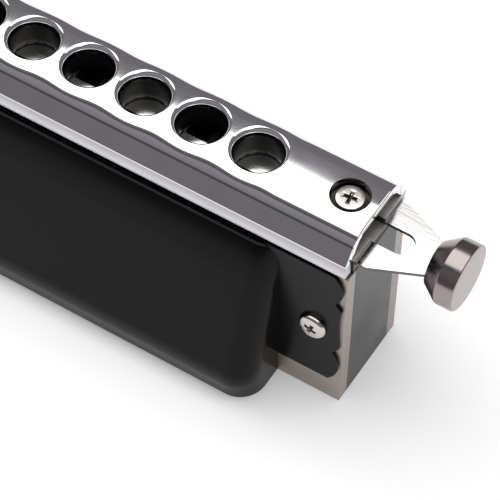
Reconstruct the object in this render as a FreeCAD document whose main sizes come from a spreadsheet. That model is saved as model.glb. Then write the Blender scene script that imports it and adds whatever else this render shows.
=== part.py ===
import FreeCAD, Part
import math
import os
import Sketcher

# Chromatic harmonica with twelve holes, standing on its back.
# Millimetres. +X runs towards the slide button, +Z towards the mouthpiece, and the
# lower cover is on the -Y side. The origin is the middle of the comb's back face.

doc = FreeCAD.newDocument("ChromaticHarmonica")
sheet = doc.addObject("Spreadsheet::Sheet", "Sizes")

SIZES = [
    ("hole_count", "12", "blow holes"),
    ("hole_pitch", "9.2", "from one blow hole to the next"),
    ("hole_bore", "6.8", "blow hole diameter"),
    ("hole_rim", "8.35", "outer diameter of the hole's bevelled rim"),
    ("end_margin", "19", "last hole centre to the comb's end"),
    ("comb_thickness", "11.3", "between the two reed plates"),
    ("comb_height", "28.85", "back face to front face"),
    ("chamber_partition", "0.9", "wall between two chambers"),
    ("chamber_web", "1", "middle wall between the two rows of chambers"),
    ("bass_chamber", "24", "longest chamber, at the low notes"),
    ("treble_chamber", "16", "shortest chamber, at the high notes"),
    ("reed_plate_thickness", "2.1", "reed plate"),
    ("reed_slot_width", "2.3", "slot that a reed swings through"),
    ("reed_slot_inset", "5.5", "comb front to the slots"),
    ("reed_slot_rest", "2.2", "chamber end to slot end"),
    ("reed_width", "2", "reed blade"),
    ("reed_thickness", "0.3", "reed blade"),
    ("reed_foot", "2", "part of the reed that lies on the plate at its rivet"),
    ("reed_tip_gap", "0.3", "reed tip to slot end"),
    ("rivet_head", "1.3", "diameter of a reed's rivet head"),
    ("rivet_rise", "0.35", "height of a reed's rivet head"),
    ("valve_width", "3", "windsaver strip"),
    ("valve_thickness", "0.2", "windsaver strip"),
    ("valve_overhang", "0.8", "windsaver strip past the slot's ends"),
    ("plate_screw_count", "4", "screws through each reed plate"),
    ("plate_screw_span", "104", "first to last reed plate screw"),
    ("plate_screw_height", "2.4", "reed plate screws above the back face"),
    ("plate_screw_head", "3", "head diameter"),
    ("plate_screw_rise", "0.8", "head height"),
    ("plate_screw_shank", "1.6", "shank diameter"),
    ("plate_screw_reach", "3", "shank length in the comb"),
    ("gasket_thickness", "0.7", "gasket on the comb's front"),
    ("gasket_inset", "0.15", "gasket edge inside the plates' edge"),
    ("back_plate_thickness", "0.7", "floor of the slide channel"),
    ("front_plate_thickness", "0.6", "cover plate of the slide channel"),
    ("plate_width", "13", "front and back plate"),
    ("mouth_depth", "3.8", "one row's air opening across the plate"),
    ("mouth_row_gap", "1.2", "between the two rows of air openings"),
    ("front_hole", "7", "hole in the front plate"),
    ("slide_thickness", "0.9", "slide"),
    ("slide_width", "12.2", "slide"),
    ("slide_clearance", "0.04", "above and below the slide"),
    ("slide_side_clearance", "0.05", "slide edge to channel rail"),
    ("slide_travel", "8.2", "button out to button in"),
    ("slide_tail_gap", "0.9", "slide tail to comb end with the button in"),
    ("window_width", "8.8", "slide window along the slide"),
    ("window_depth", "4.15", "slide window across the slide"),
    ("window_row_gap", "0.9", "rib between the two rows of windows"),
    ("bumper_clearance", "0.05", "round a bumper in its slot"),
    ("bumper_diameter", "3.7", "sleeve round the mouthpiece screw in the slot"),
    ("taper_start", "1.6", "comb end to the slide's taper"),
    ("neck_width", "5.7", "slide where it enters the button"),
    ("tang_length", "2.8", "slide inside the button"),
    ("tang_clearance", "0.02", "tang to its slot in the button"),
    ("button_reach", "8.9", "comb end to button"),
    ("button_small", "6.5", "button diameter at the slide"),
    ("button_large", "9.9", "button diameter"),
    ("button_cone", "2.4", "length of the cone"),
    ("button_rim", "2.65", "length of the cylinder"),
    ("button_bevel", "0.25", "bevel round the pressed face"),
    ("button_seat", "0.3", "length that the tang's slot goes past the tang"),
    ("mouthpiece_rise", "4.17", "mouthpiece crest above the front plate"),
    ("mouthpiece_skirt", "1.2", "side walls below the front plate's face"),
    ("mouthpiece_wall", "0.75", "side walls"),
    ("mouthpiece_roof", "0.95", "roof over the hollow ends"),
    ("mouthpiece_shoulder", "3.5", "outer radius between roof and side"),
    ("mouthpiece_gap", "0.05", "side wall to plate edge"),
    ("mouthpiece_end_gap", "0.3", "mouthpiece end to comb end"),
    ("mouthpiece_corner", "1.4", "radius of the side walls' lower corners"),
    ("mouthpiece_hollow", "10.5", "length of the hollow at each end"),
    ("cup_wall", "0.7", "wall round the screw recess"),
    ("cup_floor", "0.6", "floor of the screw recess"),
    ("mouthpiece_screw_margin", "4.6", "mouthpiece screw to comb end"),
    ("recess_diameter", "5.8", "recess round the screw head"),
    ("recess_depth", "1.35", "recess round the screw head"),
    ("post_diameter", "5.2", "post under the screw recess"),
    ("screw_head", "4.2", "mouthpiece screw head diameter"),
    ("screw_head_rise", "0.95", "mouthpiece screw head height"),
    ("screw_dome", "0.3", "crown of a screw head"),
    ("screw_shank", "2", "machine screw diameter"),
    ("screw_clearance", "0.1", "round a screw in a clearance hole"),
    ("thread_clearance", "0.02", "round a screw in its thread"),
    ("cross_arm", "2.3", "length of the cross recess"),
    ("cross_width", "0.6", "width of the cross recess"),
    ("cross_depth", "0.5", "depth of the cross recess"),
    ("insert_diameter", "3.6", "brass insert in the comb"),
    ("insert_length", "7", "brass insert in the comb"),
    ("insert_clearance", "0.02", "round the insert"),
    ("screw_engagement", "6", "screw length in the insert"),
    ("cover_thickness", "0.5", "sheet of the covers"),
    ("cover_front", "28.8", "front edge of the covers above the back face"),
    ("cover_lip", "0.45", "narrow flange along the front edge"),
    ("cover_ledge", "8.85", "corner of front ledge and sloping face from the middle plane"),
    ("cover_belly", "16.8", "corner under the sloping face from the middle plane"),
    ("cover_belly_height", "5.05", "same, above the back face"),
    ("cover_hem", "15.4", "back edge from the middle plane"),
    ("cover_fold", "0.9", "outer radius of the fold at the ledge"),
    ("cover_bend", "6", "outer radius of the bend below the sloping face"),
    ("cover_corner", "4", "outer radius of the bulge's ends"),
    ("bulge_margin", "10.15", "bulge end to comb end"),
    ("flange_margin", "0.4", "flange tip to comb end"),
    ("flange_foot", "4.9", "flange above the back face"),
    ("flange_middle", "17.3", "middle of the bracket curve above the back face"),
    ("flange_lobe", "2.7", "flange edge to the widest place of its round corner"),
    ("lobe_inset", "1.45", "flange tip to the start of its round corner"),
    ("notch_depth", "1", "V notch in the flange's end"),
    ("notch_half", "5.7", "flange middle to notch"),
    ("cusp_half", "4.4", "flange middle to cusp"),
    ("waist_depth", "0.3", "shallow hollow between the cusps"),
    ("bolt_margin", "4.55", "cover bolt to comb end"),
    ("bolt_height", "15.95", "cover bolt above the back face"),
    ("bolt_head", "4.4", "cover bolt head diameter"),
    ("bolt_head_rise", "1.05", "cover bolt head height"),
    ("nut_flats", "4", "cover nut across its flats"),
    ("nut_height", "1.6", "cover nut"),
    ("spring_wire", "0.8", "return spring wire"),
    ("spring_offset", "3.85", "spring plane from the middle plane"),
    ("spring_bend", "2.2", "radius of the spring's bend"),
    ("spring_foot", "2.6", "straight foot of the spring"),
    ("spring_height", "2", "spring foot above the back face"),
    ("spring_lean", "1.4", "lean of the spring's leg at rest"),
    ("spring_margin", "12.4", "spring top at rest to comb end"),
    ("spring_hole", "1.1", "hole in the slide for the spring"),
    ("spring_room", "0.55", "pocket wall to spring"),
    ("spring_socket", "2", "end of the spring's foot in the comb"),
    ("hidden_sides", "8", "sides of a round hole or shank that nothing shows"),
    ("overrun", "1", "how far a cut passes the face that it leaves"),
]

for row, (alias, value, note) in enumerate(SIZES, start=1):
    sheet.set("A%d" % row, alias)
    sheet.set("B%d" % row, value)
    sheet.setAlias("B%d" % row, alias)
    sheet.set("C%d" % row, note)
doc.recompute()


def size(expression):
    """Value of an expression in the sheet's names."""
    return float(sheet_reader.evalExpression(expression))


sheet_reader = doc.addObject("App::FeaturePython", "SizeReader")
hidden_sides = int(size("Sizes.hidden_sides"))

# Places that follow from the sizes, as expressions.
last_hole = "((Sizes.hole_count - 1) * Sizes.hole_pitch / 2)"
half_length = "(%s + Sizes.end_margin)" % last_hole
half_comb = "(Sizes.comb_thickness / 2)"
plate_face = "(Sizes.comb_thickness / 2 + Sizes.reed_plate_thickness)"
cover_face = "(%s + Sizes.cover_thickness)" % plate_face
back_plate_level = "(Sizes.comb_height + Sizes.gasket_thickness)"
slide_bed = "(%s + Sizes.back_plate_thickness)" % back_plate_level
channel_height = "(Sizes.slide_thickness + 2 * Sizes.slide_clearance)"
slide_level = "(%s + Sizes.slide_clearance)" % slide_bed
slide_middle = "(%s + Sizes.slide_thickness / 2)" % slide_level
front_plate_level = "(%s + %s)" % (slide_bed, channel_height)
mouthpiece_level = "(%s + Sizes.front_plate_thickness)" % front_plate_level
channel_half = "(Sizes.slide_width / 2 + Sizes.slide_side_clearance)"
mouthpiece_inside = "(Sizes.plate_width / 2 + Sizes.mouthpiece_gap)"
mouthpiece_outside = "(%s + Sizes.mouthpiece_wall)" % mouthpiece_inside
mouthpiece_end = "(%s - Sizes.mouthpiece_end_gap)" % half_length
screw_place = "(%s - Sizes.mouthpiece_screw_margin)" % half_length
bolt_place = "(%s - Sizes.bolt_margin)" % half_length
shank_hole = "(Sizes.screw_shank + 2 * Sizes.screw_clearance)"
thread_hole = "(Sizes.screw_shank + 2 * Sizes.thread_clearance)"
bumper_slot = "(Sizes.bumper_diameter + 2 * Sizes.bumper_clearance)"
spring_top = "(-%s + Sizes.spring_margin)" % half_length
spring_foot_place = "(%s - Sizes.spring_lean)" % spring_top


def hole_place(number):
    """Middle of a blow hole, counted from the button."""
    return "(%s - %d * Sizes.hole_pitch)" % (last_hole, number)


# Drawing helpers: every outline is placed from the sheet.


def new_body(label):
    body = doc.addObject("PartDesign::Body", label)
    body.Label = label
    return body


def origin_plane(body, role):
    for feature in body.Origin.OriginFeatures:
        if feature.Role == role:
            return feature
    raise ValueError("no plane " + role)


def new_sketch(body, role, name, offset=None):
    sketch = body.newObject("Sketcher::SketchObject", name)
    sketch.AttachmentSupport = [(origin_plane(body, role), "")]
    sketch.MapMode = "FlatFace"
    if offset is not None:
        sketch.setExpression("AttachmentOffset.Base.z", offset)
    return sketch


def fix_all(sketch, places):
    """Hold points' distances from the sketch's origin to expressions."""
    first = len(sketch.Constraints)
    held = []
    for kind, edge, point, expression in places:
        held.append(Sketcher.Constraint(kind, -1, 1, edge, point, size(expression)))
    sketch.addConstraint(held)
    for index, place in enumerate(places, start=first):
        sketch.setExpression("Constraints[%d]" % index, place[-1])


def fix(sketch, kind, edge, point, expression):
    """Hold one point's distance from the sketch's origin to an expression."""
    fix_all(sketch, [(kind, edge, point, expression)])


def box(left, right, low, high):
    return [(left, low), (right, low), (right, high), (left, high)]


def draw_outlines(sketch, outlines):
    """Closed outlines of straight lines through corners given as expressions."""
    lines = []
    joins = []
    places = []
    first = len(sketch.Geometry)
    for corners in outlines:
        points = [FreeCAD.Vector(size(across), size(up), 0) for across, up in corners]
        count = len(points)
        for place, (across, up) in enumerate(corners):
            following = (place + 1) % count
            lines.append(Part.LineSegment(points[place], points[following]))
            joins.append(Sketcher.Constraint("Coincident", first + place, 2, first + following, 1))
            places.append(("DistanceX", first + place, 1, across))
            places.append(("DistanceY", first + place, 1, up))
        first += count
    sketch.addGeometry(lines, False)
    sketch.addConstraint(joins)
    fix_all(sketch, places)


def draw_box(sketch, left, right, low, high):
    draw_outlines(sketch, [box(left, right, low, high)])


def draw_circle(sketch, across, up, diameter):
    centre = FreeCAD.Vector(size(across), size(up), 0)
    circle = Part.Circle(centre, FreeCAD.Vector(0, 0, 1), size(diameter) / 2)
    edge = sketch.addGeometry(circle, False)
    fix(sketch, "DistanceX", edge, 3, across)
    fix(sketch, "DistanceY", edge, 3, up)
    index = sketch.addConstraint(Sketcher.Constraint("Diameter", edge, size(diameter)))
    sketch.setExpression("Constraints[%d]" % index, diameter)


def sided(across, up, diameter, sides, round_it):
    """Corners of a regular outline round a circle, or inside it."""
    reach = "(%s / 2)" % diameter
    if round_it:
        reach = "(%s / 2 / cos(180 deg / %d))" % (diameter, sides)
    corners = []
    for place in range(sides):
        angle = "(%d deg * 180 / %d)" % (2 * place + 1, sides)
        corners.append((
            "(%s + %s * cos(%s))" % (across, reach, angle),
            "(%s + %s * sin(%s))" % (up, reach, angle),
        ))
    return corners


def draw_hidden_holes(sketch, holes):
    """Holes that nothing shows, with a few sides round their circle."""
    corners = [sided(across, up, diameter, hidden_sides, True) for across, up, diameter in holes]
    draw_outlines(sketch, corners)


def draw_hidden_shank(sketch, across, up, diameter):
    """Round piece that nothing shows, with a few sides inside its circle."""
    draw_outlines(sketch, [sided(across, up, diameter, hidden_sides, False)])


def draw_slot(sketch, left, right, width):
    """Slot along X on the middle line, with round ends centred on left and right."""
    radius = size(width) / 2
    start = size(left)
    end = size(right)
    top = FreeCAD.Vector(0, radius, 0)
    axis = FreeCAD.Vector(0, 0, 1)
    near = FreeCAD.Vector(start, 0, 0)
    far = FreeCAD.Vector(end, 0, 0)
    quarter = math.pi / 2
    first = len(sketch.Geometry)
    sketch.addGeometry(Part.LineSegment(near - top, far - top), False)
    sketch.addGeometry(Part.ArcOfCircle(Part.Circle(far, axis, radius), -quarter, quarter), False)
    sketch.addGeometry(Part.LineSegment(far + top, near + top), False)
    sketch.addGeometry(Part.ArcOfCircle(Part.Circle(near, axis, radius), quarter, 3 * quarter), False)
    for place in range(4):
        following = first + (place + 1) % 4
        sketch.addConstraint(Sketcher.Constraint("Tangent", first + place, 2, following, 1))
    fix(sketch, "DistanceX", first + 1, 3, right)
    sketch.addConstraint(Sketcher.Constraint("PointOnObject", first + 1, 3, -1))
    fix(sketch, "DistanceX", first + 3, 3, left)
    sketch.addConstraint(Sketcher.Constraint("PointOnObject", first + 3, 3, -1))
    index = sketch.addConstraint(Sketcher.Constraint("Radius", first + 1, radius))
    sketch.setExpression("Constraints[%d]" % index, "%s / 2" % width)


def draw_arch(sketch, half_width, low, high, shoulder):
    """Arch with a flat top, upright sides and two equal round shoulders."""
    side = size(half_width)
    foot = size(low)
    crown = size(high)
    radius = size(shoulder)
    axis = FreeCAD.Vector(0, 0, 1)
    right_centre = FreeCAD.Vector(side - radius, crown - radius, 0)
    left_centre = FreeCAD.Vector(radius - side, crown - radius, 0)
    quarter = math.pi / 2
    pieces = [
        Part.LineSegment(FreeCAD.Vector(-side, foot, 0), FreeCAD.Vector(side, foot, 0)),
        Part.LineSegment(FreeCAD.Vector(side, foot, 0), FreeCAD.Vector(side, crown - radius, 0)),
        Part.ArcOfCircle(Part.Circle(right_centre, axis, radius), 0, quarter),
        Part.LineSegment(FreeCAD.Vector(side - radius, crown, 0), FreeCAD.Vector(radius - side, crown, 0)),
        Part.ArcOfCircle(Part.Circle(left_centre, axis, radius), quarter, 2 * quarter),
        Part.LineSegment(FreeCAD.Vector(-side, crown - radius, 0), FreeCAD.Vector(-side, foot, 0)),
    ]
    sketch.addGeometry(pieces, False)
    for place, kind in enumerate(["Coincident", "Tangent", "Tangent", "Tangent", "Tangent", "Coincident"]):
        sketch.addConstraint(Sketcher.Constraint(kind, place, 2, (place + 1) % len(pieces), 1))
    for edge in (0, 3):
        sketch.addConstraint(Sketcher.Constraint("Horizontal", edge))
    fix(sketch, "DistanceX", 0, 1, "-%s" % half_width)
    fix(sketch, "DistanceX", 0, 2, half_width)
    fix(sketch, "DistanceY", 0, 1, low)
    fix(sketch, "DistanceY", 3, 1, high)
    sketch.addConstraint(Sketcher.Constraint("Equal", 2, 4))
    sketch.addConstraint(Sketcher.Constraint("Vertical", 1))
    index = sketch.addConstraint(Sketcher.Constraint("Radius", 2, radius))
    sketch.setExpression("Constraints[%d]" % index, shoulder)


def pad(body, sketch, name, length, both_ways=False, turned=False):
    feature = body.newObject("PartDesign::Pad", name)
    feature.Profile = sketch
    feature.setExpression("Length", length)
    if both_ways:
        feature.SideType = "Symmetric"
    feature.Reversed = turned
    doc.recompute()
    return feature


def cut(body, sketch, name, depth=None, turned=False, both_ways=False):
    """Pocket of a depth, or right through, that must take material away."""
    before = body.Shape.Volume
    feature = body.newObject("PartDesign::Pocket", name)
    feature.Profile = sketch
    if both_ways:
        feature.SideType = "Symmetric"
    if depth is None:
        feature.Type = "ThroughAll"
    else:
        feature.setExpression("Length", depth)
    feature.Reversed = turned
    doc.recompute()
    if body.Shape.Volume >= before:
        raise ValueError("%s cuts nothing" % name)
    return feature


def edges_like(body, test):
    """Names of the edges whose shape passes a test."""
    names = []
    for number, edge in enumerate(body.Shape.Edges, start=1):
        if test(edge):
            names.append("Edge%d" % number)
    if not names:
        raise ValueError("no edge found on %s" % body.Label)
    return names


def dress(body, kind, name, test, expression):
    """Fillet or chamfer on the edges that pass a test."""
    base = body.Tip
    names = edges_like(body, test)
    feature = body.newObject("PartDesign::" + kind, name)
    feature.Base = (base, names)
    feature.setExpression("Radius" if kind == "Fillet" else "Size", expression)
    doc.recompute()
    return feature


def same(first, second):
    """Whether two places are the same to well under any size of the part."""
    return abs(first - second) < Part.Precision.confusion() * 100


def group(label, members):
    """Equal pieces that share one node."""
    compound = doc.addObject("Part::Compound", label)
    compound.Label = label
    compound.Links = members
    return compound


def plain_part(label, shape):
    """Sub-part whose shape is worked out in code from the sheet."""
    feature = doc.addObject("Part::Feature", label)
    feature.Label = label
    feature.Shape = shape
    feature.Placement = FreeCAD.Placement()
    return feature


nodes = []

# Comb: moulded block with two rows of reed chambers, two for each hole and row.


def chamber_share(number, total):
    """0 at the treble end of the comb, 1 at the bass end."""
    return "(%d / (%d))" % (number, total - 1)


def chamber_middle(number):
    """Middle of a chamber, counted from the button end."""
    return "(%s + Sizes.hole_pitch / 4 - %d * Sizes.hole_pitch / 2)" % (last_hole, number)


def chamber_length(number, total):
    grown = "(Sizes.bass_chamber - Sizes.treble_chamber) * %s" % chamber_share(number, total)
    return "(Sizes.treble_chamber + %s)" % grown


hole_total = int(size("Sizes.hole_count"))
chamber_total = 2 * hole_total
half_chamber = "((Sizes.hole_pitch / 2 - Sizes.chamber_partition) / 2)"

comb = new_body("comb")
comb_outline = new_sketch(comb, "XY_Plane", "CombOutline")
draw_box(comb_outline, "-" + half_length, half_length, "-" + half_comb, half_comb)
pad(comb, comb_outline, "CombBlock", "Sizes.comb_height")

chamber_sketch = new_sketch(comb, "XZ_Plane", "Chambers", half_comb)
chamber_outlines = []
for number in range(chamber_total):
    middle = chamber_middle(number)
    chamber_outlines.append(box(
        "(%s - %s)" % (middle, half_chamber),
        "(%s + %s)" % (middle, half_chamber),
        "(Sizes.comb_height - %s)" % chamber_length(number, chamber_total),
        "(Sizes.comb_height + Sizes.overrun)",
    ))
draw_outlines(chamber_sketch, chamber_outlines)
chambers = cut(comb, chamber_sketch, "ChamberRow", "(Sizes.comb_thickness - Sizes.chamber_web) / 2")
chamber_mirror = comb.newObject("PartDesign::Mirrored", "OtherChamberRow")
chamber_mirror.Originals = [chambers]
chamber_mirror.MirrorPlane = (origin_plane(comb, "XZ_Plane"), [""])
comb.Tip = chamber_mirror
doc.recompute()

insert_sketch = new_sketch(comb, "XY_Plane", "InsertHoles", "Sizes.comb_height")
insert_hole = "(Sizes.insert_diameter + 2 * Sizes.insert_clearance)"
draw_hidden_shank(insert_sketch, "-" + screw_place, "0", insert_hole)
draw_hidden_shank(insert_sketch, screw_place, "0", insert_hole)
cut(comb, insert_sketch, "InsertPockets", "Sizes.insert_length")

bolt_sketch = new_sketch(comb, "XZ_Plane", "BoltHoles")
bolt_holes = [(side + bolt_place, "Sizes.bolt_height", shank_hole) for side in ("-", "")]
draw_hidden_holes(bolt_sketch, bolt_holes)
cut(comb, bolt_sketch, "BoltBores", both_ways=True)

plate_screw_places = []
plate_screw_total = int(size("Sizes.plate_screw_count"))
for number in range(plate_screw_total):
    step = "Sizes.plate_screw_span / (Sizes.plate_screw_count - 1)"
    plate_screw_places.append("(%d * %s - Sizes.plate_screw_span / 2)" % (number, step))
plate_screw_hole = "(Sizes.plate_screw_shank + 2 * Sizes.thread_clearance)"
for offset, turned, name in ((half_comb, False, "Lower"), ("-" + half_comb, True, "Upper")):
    pilot_sketch = new_sketch(comb, "XZ_Plane", name + "PilotHoles", offset)
    pilots = [(place, "Sizes.plate_screw_height", plate_screw_hole) for place in plate_screw_places]
    draw_hidden_holes(pilot_sketch, pilots)
    cut(comb, pilot_sketch, name + "Pilots", "Sizes.plate_screw_reach", turned=turned)

# The spring's pocket widens upwards, because the leg swings with the slide.
spring_half = "(Sizes.spring_wire / 2 + Sizes.spring_room)"
pocket_foot = "(Sizes.spring_height - %s)" % spring_half
pocket_left = "(%s - Sizes.spring_foot - Sizes.spring_bend)" % spring_foot_place
spring_slot_left = "(%s - Sizes.slide_travel - %s)" % (spring_top, spring_half)
spring_slot_right = "(%s + %s)" % (spring_top, spring_half)
spring_sketch = new_sketch(comb, "XZ_Plane", "SpringPocketOutline", "-" + half_comb)
draw_outlines(spring_sketch, [[
    (pocket_left, pocket_foot),
    ("(%s + %s)" % (spring_foot_place, spring_half), pocket_foot),
    (spring_slot_right, "(Sizes.comb_height + Sizes.overrun)"),
    (spring_slot_left, "(Sizes.comb_height + Sizes.overrun)"),
    (pocket_left, "(Sizes.spring_height + Sizes.spring_bend)"),
]])
spring_pocket_depth = "(%s - Sizes.spring_offset + %s)" % (half_comb, spring_half)
cut(comb, spring_sketch, "SpringPocket", spring_pocket_depth, turned=True)
socket_sketch = new_sketch(comb, "YZ_Plane", "SpringSocketOutline", pocket_left)
socket_diameter = "(Sizes.spring_wire + 2 * Sizes.thread_clearance)"
draw_hidden_holes(socket_sketch, [("Sizes.spring_offset", "Sizes.spring_height", socket_diameter)])
cut(comb, socket_sketch, "SpringSocket", "Sizes.spring_socket")
nodes.append(comb)

# Reed plates: brass, one on each side, with a slot for every reed.
slot_high = "(Sizes.comb_height - Sizes.reed_slot_inset)"
plate_shank_hole = "(Sizes.plate_screw_shank + 2 * Sizes.screw_clearance)"


def slot_low(number):
    length = chamber_length(number, chamber_total)
    return "(Sizes.comb_height - %s + Sizes.reed_slot_rest)" % length


def make_reed_plate(label, near_face):
    plate = new_body(label)
    outline = new_sketch(plate, "XZ_Plane", label + "_outline")
    draw_box(outline, "-" + half_length, half_length, "0", "Sizes.comb_height")
    pad(plate, outline, label + "_sheet", "Sizes.reed_plate_thickness")
    slots = new_sketch(plate, "XZ_Plane", label + "_slots")
    slot_outlines = []
    for number in range(chamber_total):
        middle = chamber_middle(number)
        left = "(%s - Sizes.reed_slot_width / 2)" % middle
        right = "(%s + Sizes.reed_slot_width / 2)" % middle
        slot_outlines.append(box(left, right, slot_low(number), slot_high))
    draw_outlines(slots, slot_outlines)
    cut(plate, slots, label + "_slot_cuts", both_ways=True)
    holes = new_sketch(plate, "XZ_Plane", label + "_holes")
    screw_holes = [(place, "Sizes.plate_screw_height", plate_shank_hole) for place in plate_screw_places]
    draw_hidden_holes(holes, bolt_holes + screw_holes)
    cut(plate, holes, label + "_bores", both_ways=True)
    plate.setExpression("Placement.Base.y", near_face)
    return plate


nodes.append(make_reed_plate("lower_reed_plate", "-" + half_comb))
nodes.append(make_reed_plate("upper_reed_plate", plate_face))

# Reeds and windsaver valves. Draw reeds lie on the outside of a plate and are riveted at
# the front; blow reeds lie on the inside and are riveted at the back. A valve covers each
# slot on the side away from its reed.


def make_reed(number, face, outward, at_front):
    """A reed and its rivet head, on the plate face at y = face."""
    middle = size(chamber_middle(number))
    high = size(slot_high)
    low = size(slot_low(number))
    foot = size("Sizes.reed_foot")
    tip_gap = size("Sizes.reed_tip_gap")
    thickness = size("Sizes.reed_thickness")
    width = size("Sizes.reed_width")
    bottom = low + tip_gap if at_front else low - foot
    top = high + foot if at_front else high - tip_gap
    near = min(face, face + outward * thickness)
    corner = FreeCAD.Vector(middle - width / 2, near, bottom)
    blade = Part.makeBox(width, thickness, top - bottom, corner)
    rivet_height = high + foot / 2 if at_front else low - foot / 2
    seat = FreeCAD.Vector(middle, face + outward * thickness, rivet_height)
    radius = size("Sizes.rivet_head / 2")
    rise = size("Sizes.rivet_rise")
    corners = []
    for place in range(hidden_sides + 1):
        angle = 2 * math.pi * place / hidden_sides
        corners.append(seat + FreeCAD.Vector(math.cos(angle), 0, math.sin(angle)) * radius)
    rivet = Part.Face(Part.makePolygon(corners)).extrude(FreeCAD.Vector(0, outward * rise, 0))
    return blade, rivet


def make_valve(number, face, outward):
    middle = size(chamber_middle(number))
    overhang = size("Sizes.valve_overhang")
    low = size(slot_low(number)) - overhang
    high = size(slot_high) + overhang
    width = size("Sizes.valve_width")
    thickness = size("Sizes.valve_thickness")
    near = min(face, face + outward * thickness)
    corner = FreeCAD.Vector(middle - width / 2, near, low)
    return Part.makeBox(width, thickness, high - low, corner)


outer_face = size(plate_face)
inner_face = size(half_comb)
for label, side in (("lower", -1), ("upper", 1)):
    draw_reeds = []
    blow_reeds = []
    rivets = []
    outer_valves = []
    inner_valves = []
    for number in range(0, chamber_total, 2):
        blade, rivet = make_reed(number, side * outer_face, side, True)
        draw_reeds.append(blade)
        rivets.append(rivet)
        inner_valves.append(make_valve(number, side * inner_face, -side))
    for number in range(1, chamber_total, 2):
        blade, rivet = make_reed(number, side * inner_face, -side, False)
        blow_reeds.append(blade)
        rivets.append(rivet)
        outer_valves.append(make_valve(number, side * outer_face, side))
    nodes.append(plain_part(label + "_draw_reeds", Part.makeCompound(draw_reeds)))
    nodes.append(plain_part(label + "_blow_reeds", Part.makeCompound(blow_reeds)))
    nodes.append(plain_part(label + "_reed_rivets", Part.makeCompound(rivets)))
    nodes.append(plain_part(label + "_outer_valves", Part.makeCompound(outer_valves)))
    nodes.append(plain_part(label + "_inner_valves", Part.makeCompound(inner_valves)))

# Screws, drawn head up at the origin. Those that show have a domed head with a cross recess.


def make_plain_screw(label, head, rise, shank, reach):
    """Screw under a cover: a head and a shank with a few sides."""
    top = doc.addObject("Part::Prism", label + "_head")
    stem = doc.addObject("Part::Prism", label + "_shank")
    for part, diameter, height in ((top, head, rise), (stem, shank, reach)):
        part.Polygon = hidden_sides
        part.setExpression("Circumradius", "%s / 2" % diameter)
        part.setExpression("Height", height)
    stem.setExpression("Placement.Base.z", "-" + reach)
    screw = doc.addObject("Part::Fuse", label)
    screw.Base = top
    screw.Tool = stem
    return screw


def make_screw(label, head, rise, shank, reach):
    screw = new_body(label)
    profile = new_sketch(screw, "XZ_Plane", label + "_profile")
    draw_outlines(profile, [[
        ("0", "0"),
        ("(%s / 2)" % head, "0"),
        ("(%s / 2)" % head, "(%s - Sizes.screw_dome)" % rise),
        ("(%s / 2 - Sizes.screw_dome)" % head, rise),
        ("0", rise),
    ]])
    turn = screw.newObject("PartDesign::Revolution", label + "_turn")
    turn.Profile = profile
    turn.ReferenceAxis = (profile, ["V_Axis"])
    doc.recompute()
    cross = new_sketch(screw, "XY_Plane", label + "_cross", rise)
    arm = "(Sizes.cross_arm / 2)"
    half = "(Sizes.cross_width / 2)"
    draw_outlines(cross, [[
        ("-" + arm, "-" + half), ("-" + half, "-" + half), ("-" + half, "-" + arm),
        (half, "-" + arm), (half, "-" + half), (arm, "-" + half),
        (arm, half), (half, half), (half, arm),
        ("-" + half, arm), ("-" + half, half), ("-" + arm, half),
    ]])
    cut(screw, cross, label + "_recess", "Sizes.cross_depth")
    stem = new_sketch(screw, "XY_Plane", label + "_stem")
    draw_hidden_shank(stem, "0", "0", shank)
    pad(screw, stem, label + "_shank", reach, turned=True)
    return screw


def set_place(part, across, depth, up):
    part.setExpression("Placement.Base.x", across)
    part.setExpression("Placement.Base.y", depth)
    part.setExpression("Placement.Base.z", up)


quarter_turn = 90
to_lower_side = FreeCAD.Rotation(FreeCAD.Vector(1, 0, 0), quarter_turn)
to_upper_side = FreeCAD.Rotation(FreeCAD.Vector(1, 0, 0), -quarter_turn)
plate_screw_length = "(Sizes.reed_plate_thickness + Sizes.plate_screw_reach)"
for label, side, rotation in (("lower", "-", to_lower_side), ("upper", "", to_upper_side)):
    plate_screws = []
    for number, place in enumerate(plate_screw_places, start=1):
        screw = make_plain_screw(
            "%s_plate_screw_%d" % (label, number),
            "Sizes.plate_screw_head",
            "Sizes.plate_screw_rise",
            "Sizes.plate_screw_shank",
            plate_screw_length,
        )
        screw.Placement = FreeCAD.Placement(FreeCAD.Vector(), rotation)
        set_place(screw, place, side + plate_face, "Sizes.plate_screw_height")
        plate_screws.append(screw)
    nodes.append(group(label + "_reed_plate_screws", plate_screws))

# Gasket, back plate and front plate: the slide runs between the two plates.


def draw_mouths(sketch):
    """Two air openings for each blow hole, one for each row of chambers."""
    mouths = []
    for number in range(hole_total):
        left = "(%s - Sizes.hole_bore / 2)" % hole_place(number)
        right = "(%s + Sizes.hole_bore / 2)" % hole_place(number)
        near = "(Sizes.mouth_row_gap / 2)"
        far = "(Sizes.mouth_row_gap / 2 + Sizes.mouth_depth)"
        mouths.append(box(left, right, near, far))
        mouths.append(box(left, right, "-" + far, "-" + near))
    draw_outlines(sketch, mouths)


def draw_fixings(sketch):
    """Screw holes, and the slot that the return spring's leg sweeps."""
    draw_hidden_holes(sketch, [(side + screw_place, "0", shank_hole) for side in ("-", "")])
    spring_near = "(Sizes.spring_offset - %s)" % spring_half
    spring_far = "(Sizes.spring_offset + %s)" % spring_half
    draw_box(sketch, spring_slot_left, spring_slot_right, spring_near, spring_far)


gasket = new_body("slide_gasket")
gasket_outline = new_sketch(gasket, "XY_Plane", "GasketOutline")
gasket_half = "(Sizes.plate_width / 2 - Sizes.gasket_inset)"
draw_box(gasket_outline, "-" + half_length, half_length, "-" + gasket_half, gasket_half)
draw_mouths(gasket_outline)
draw_fixings(gasket_outline)
pad(gasket, gasket_outline, "GasketSheet", "Sizes.gasket_thickness")
gasket.setExpression("Placement.Base.z", "Sizes.comb_height")
nodes.append(gasket)

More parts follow.
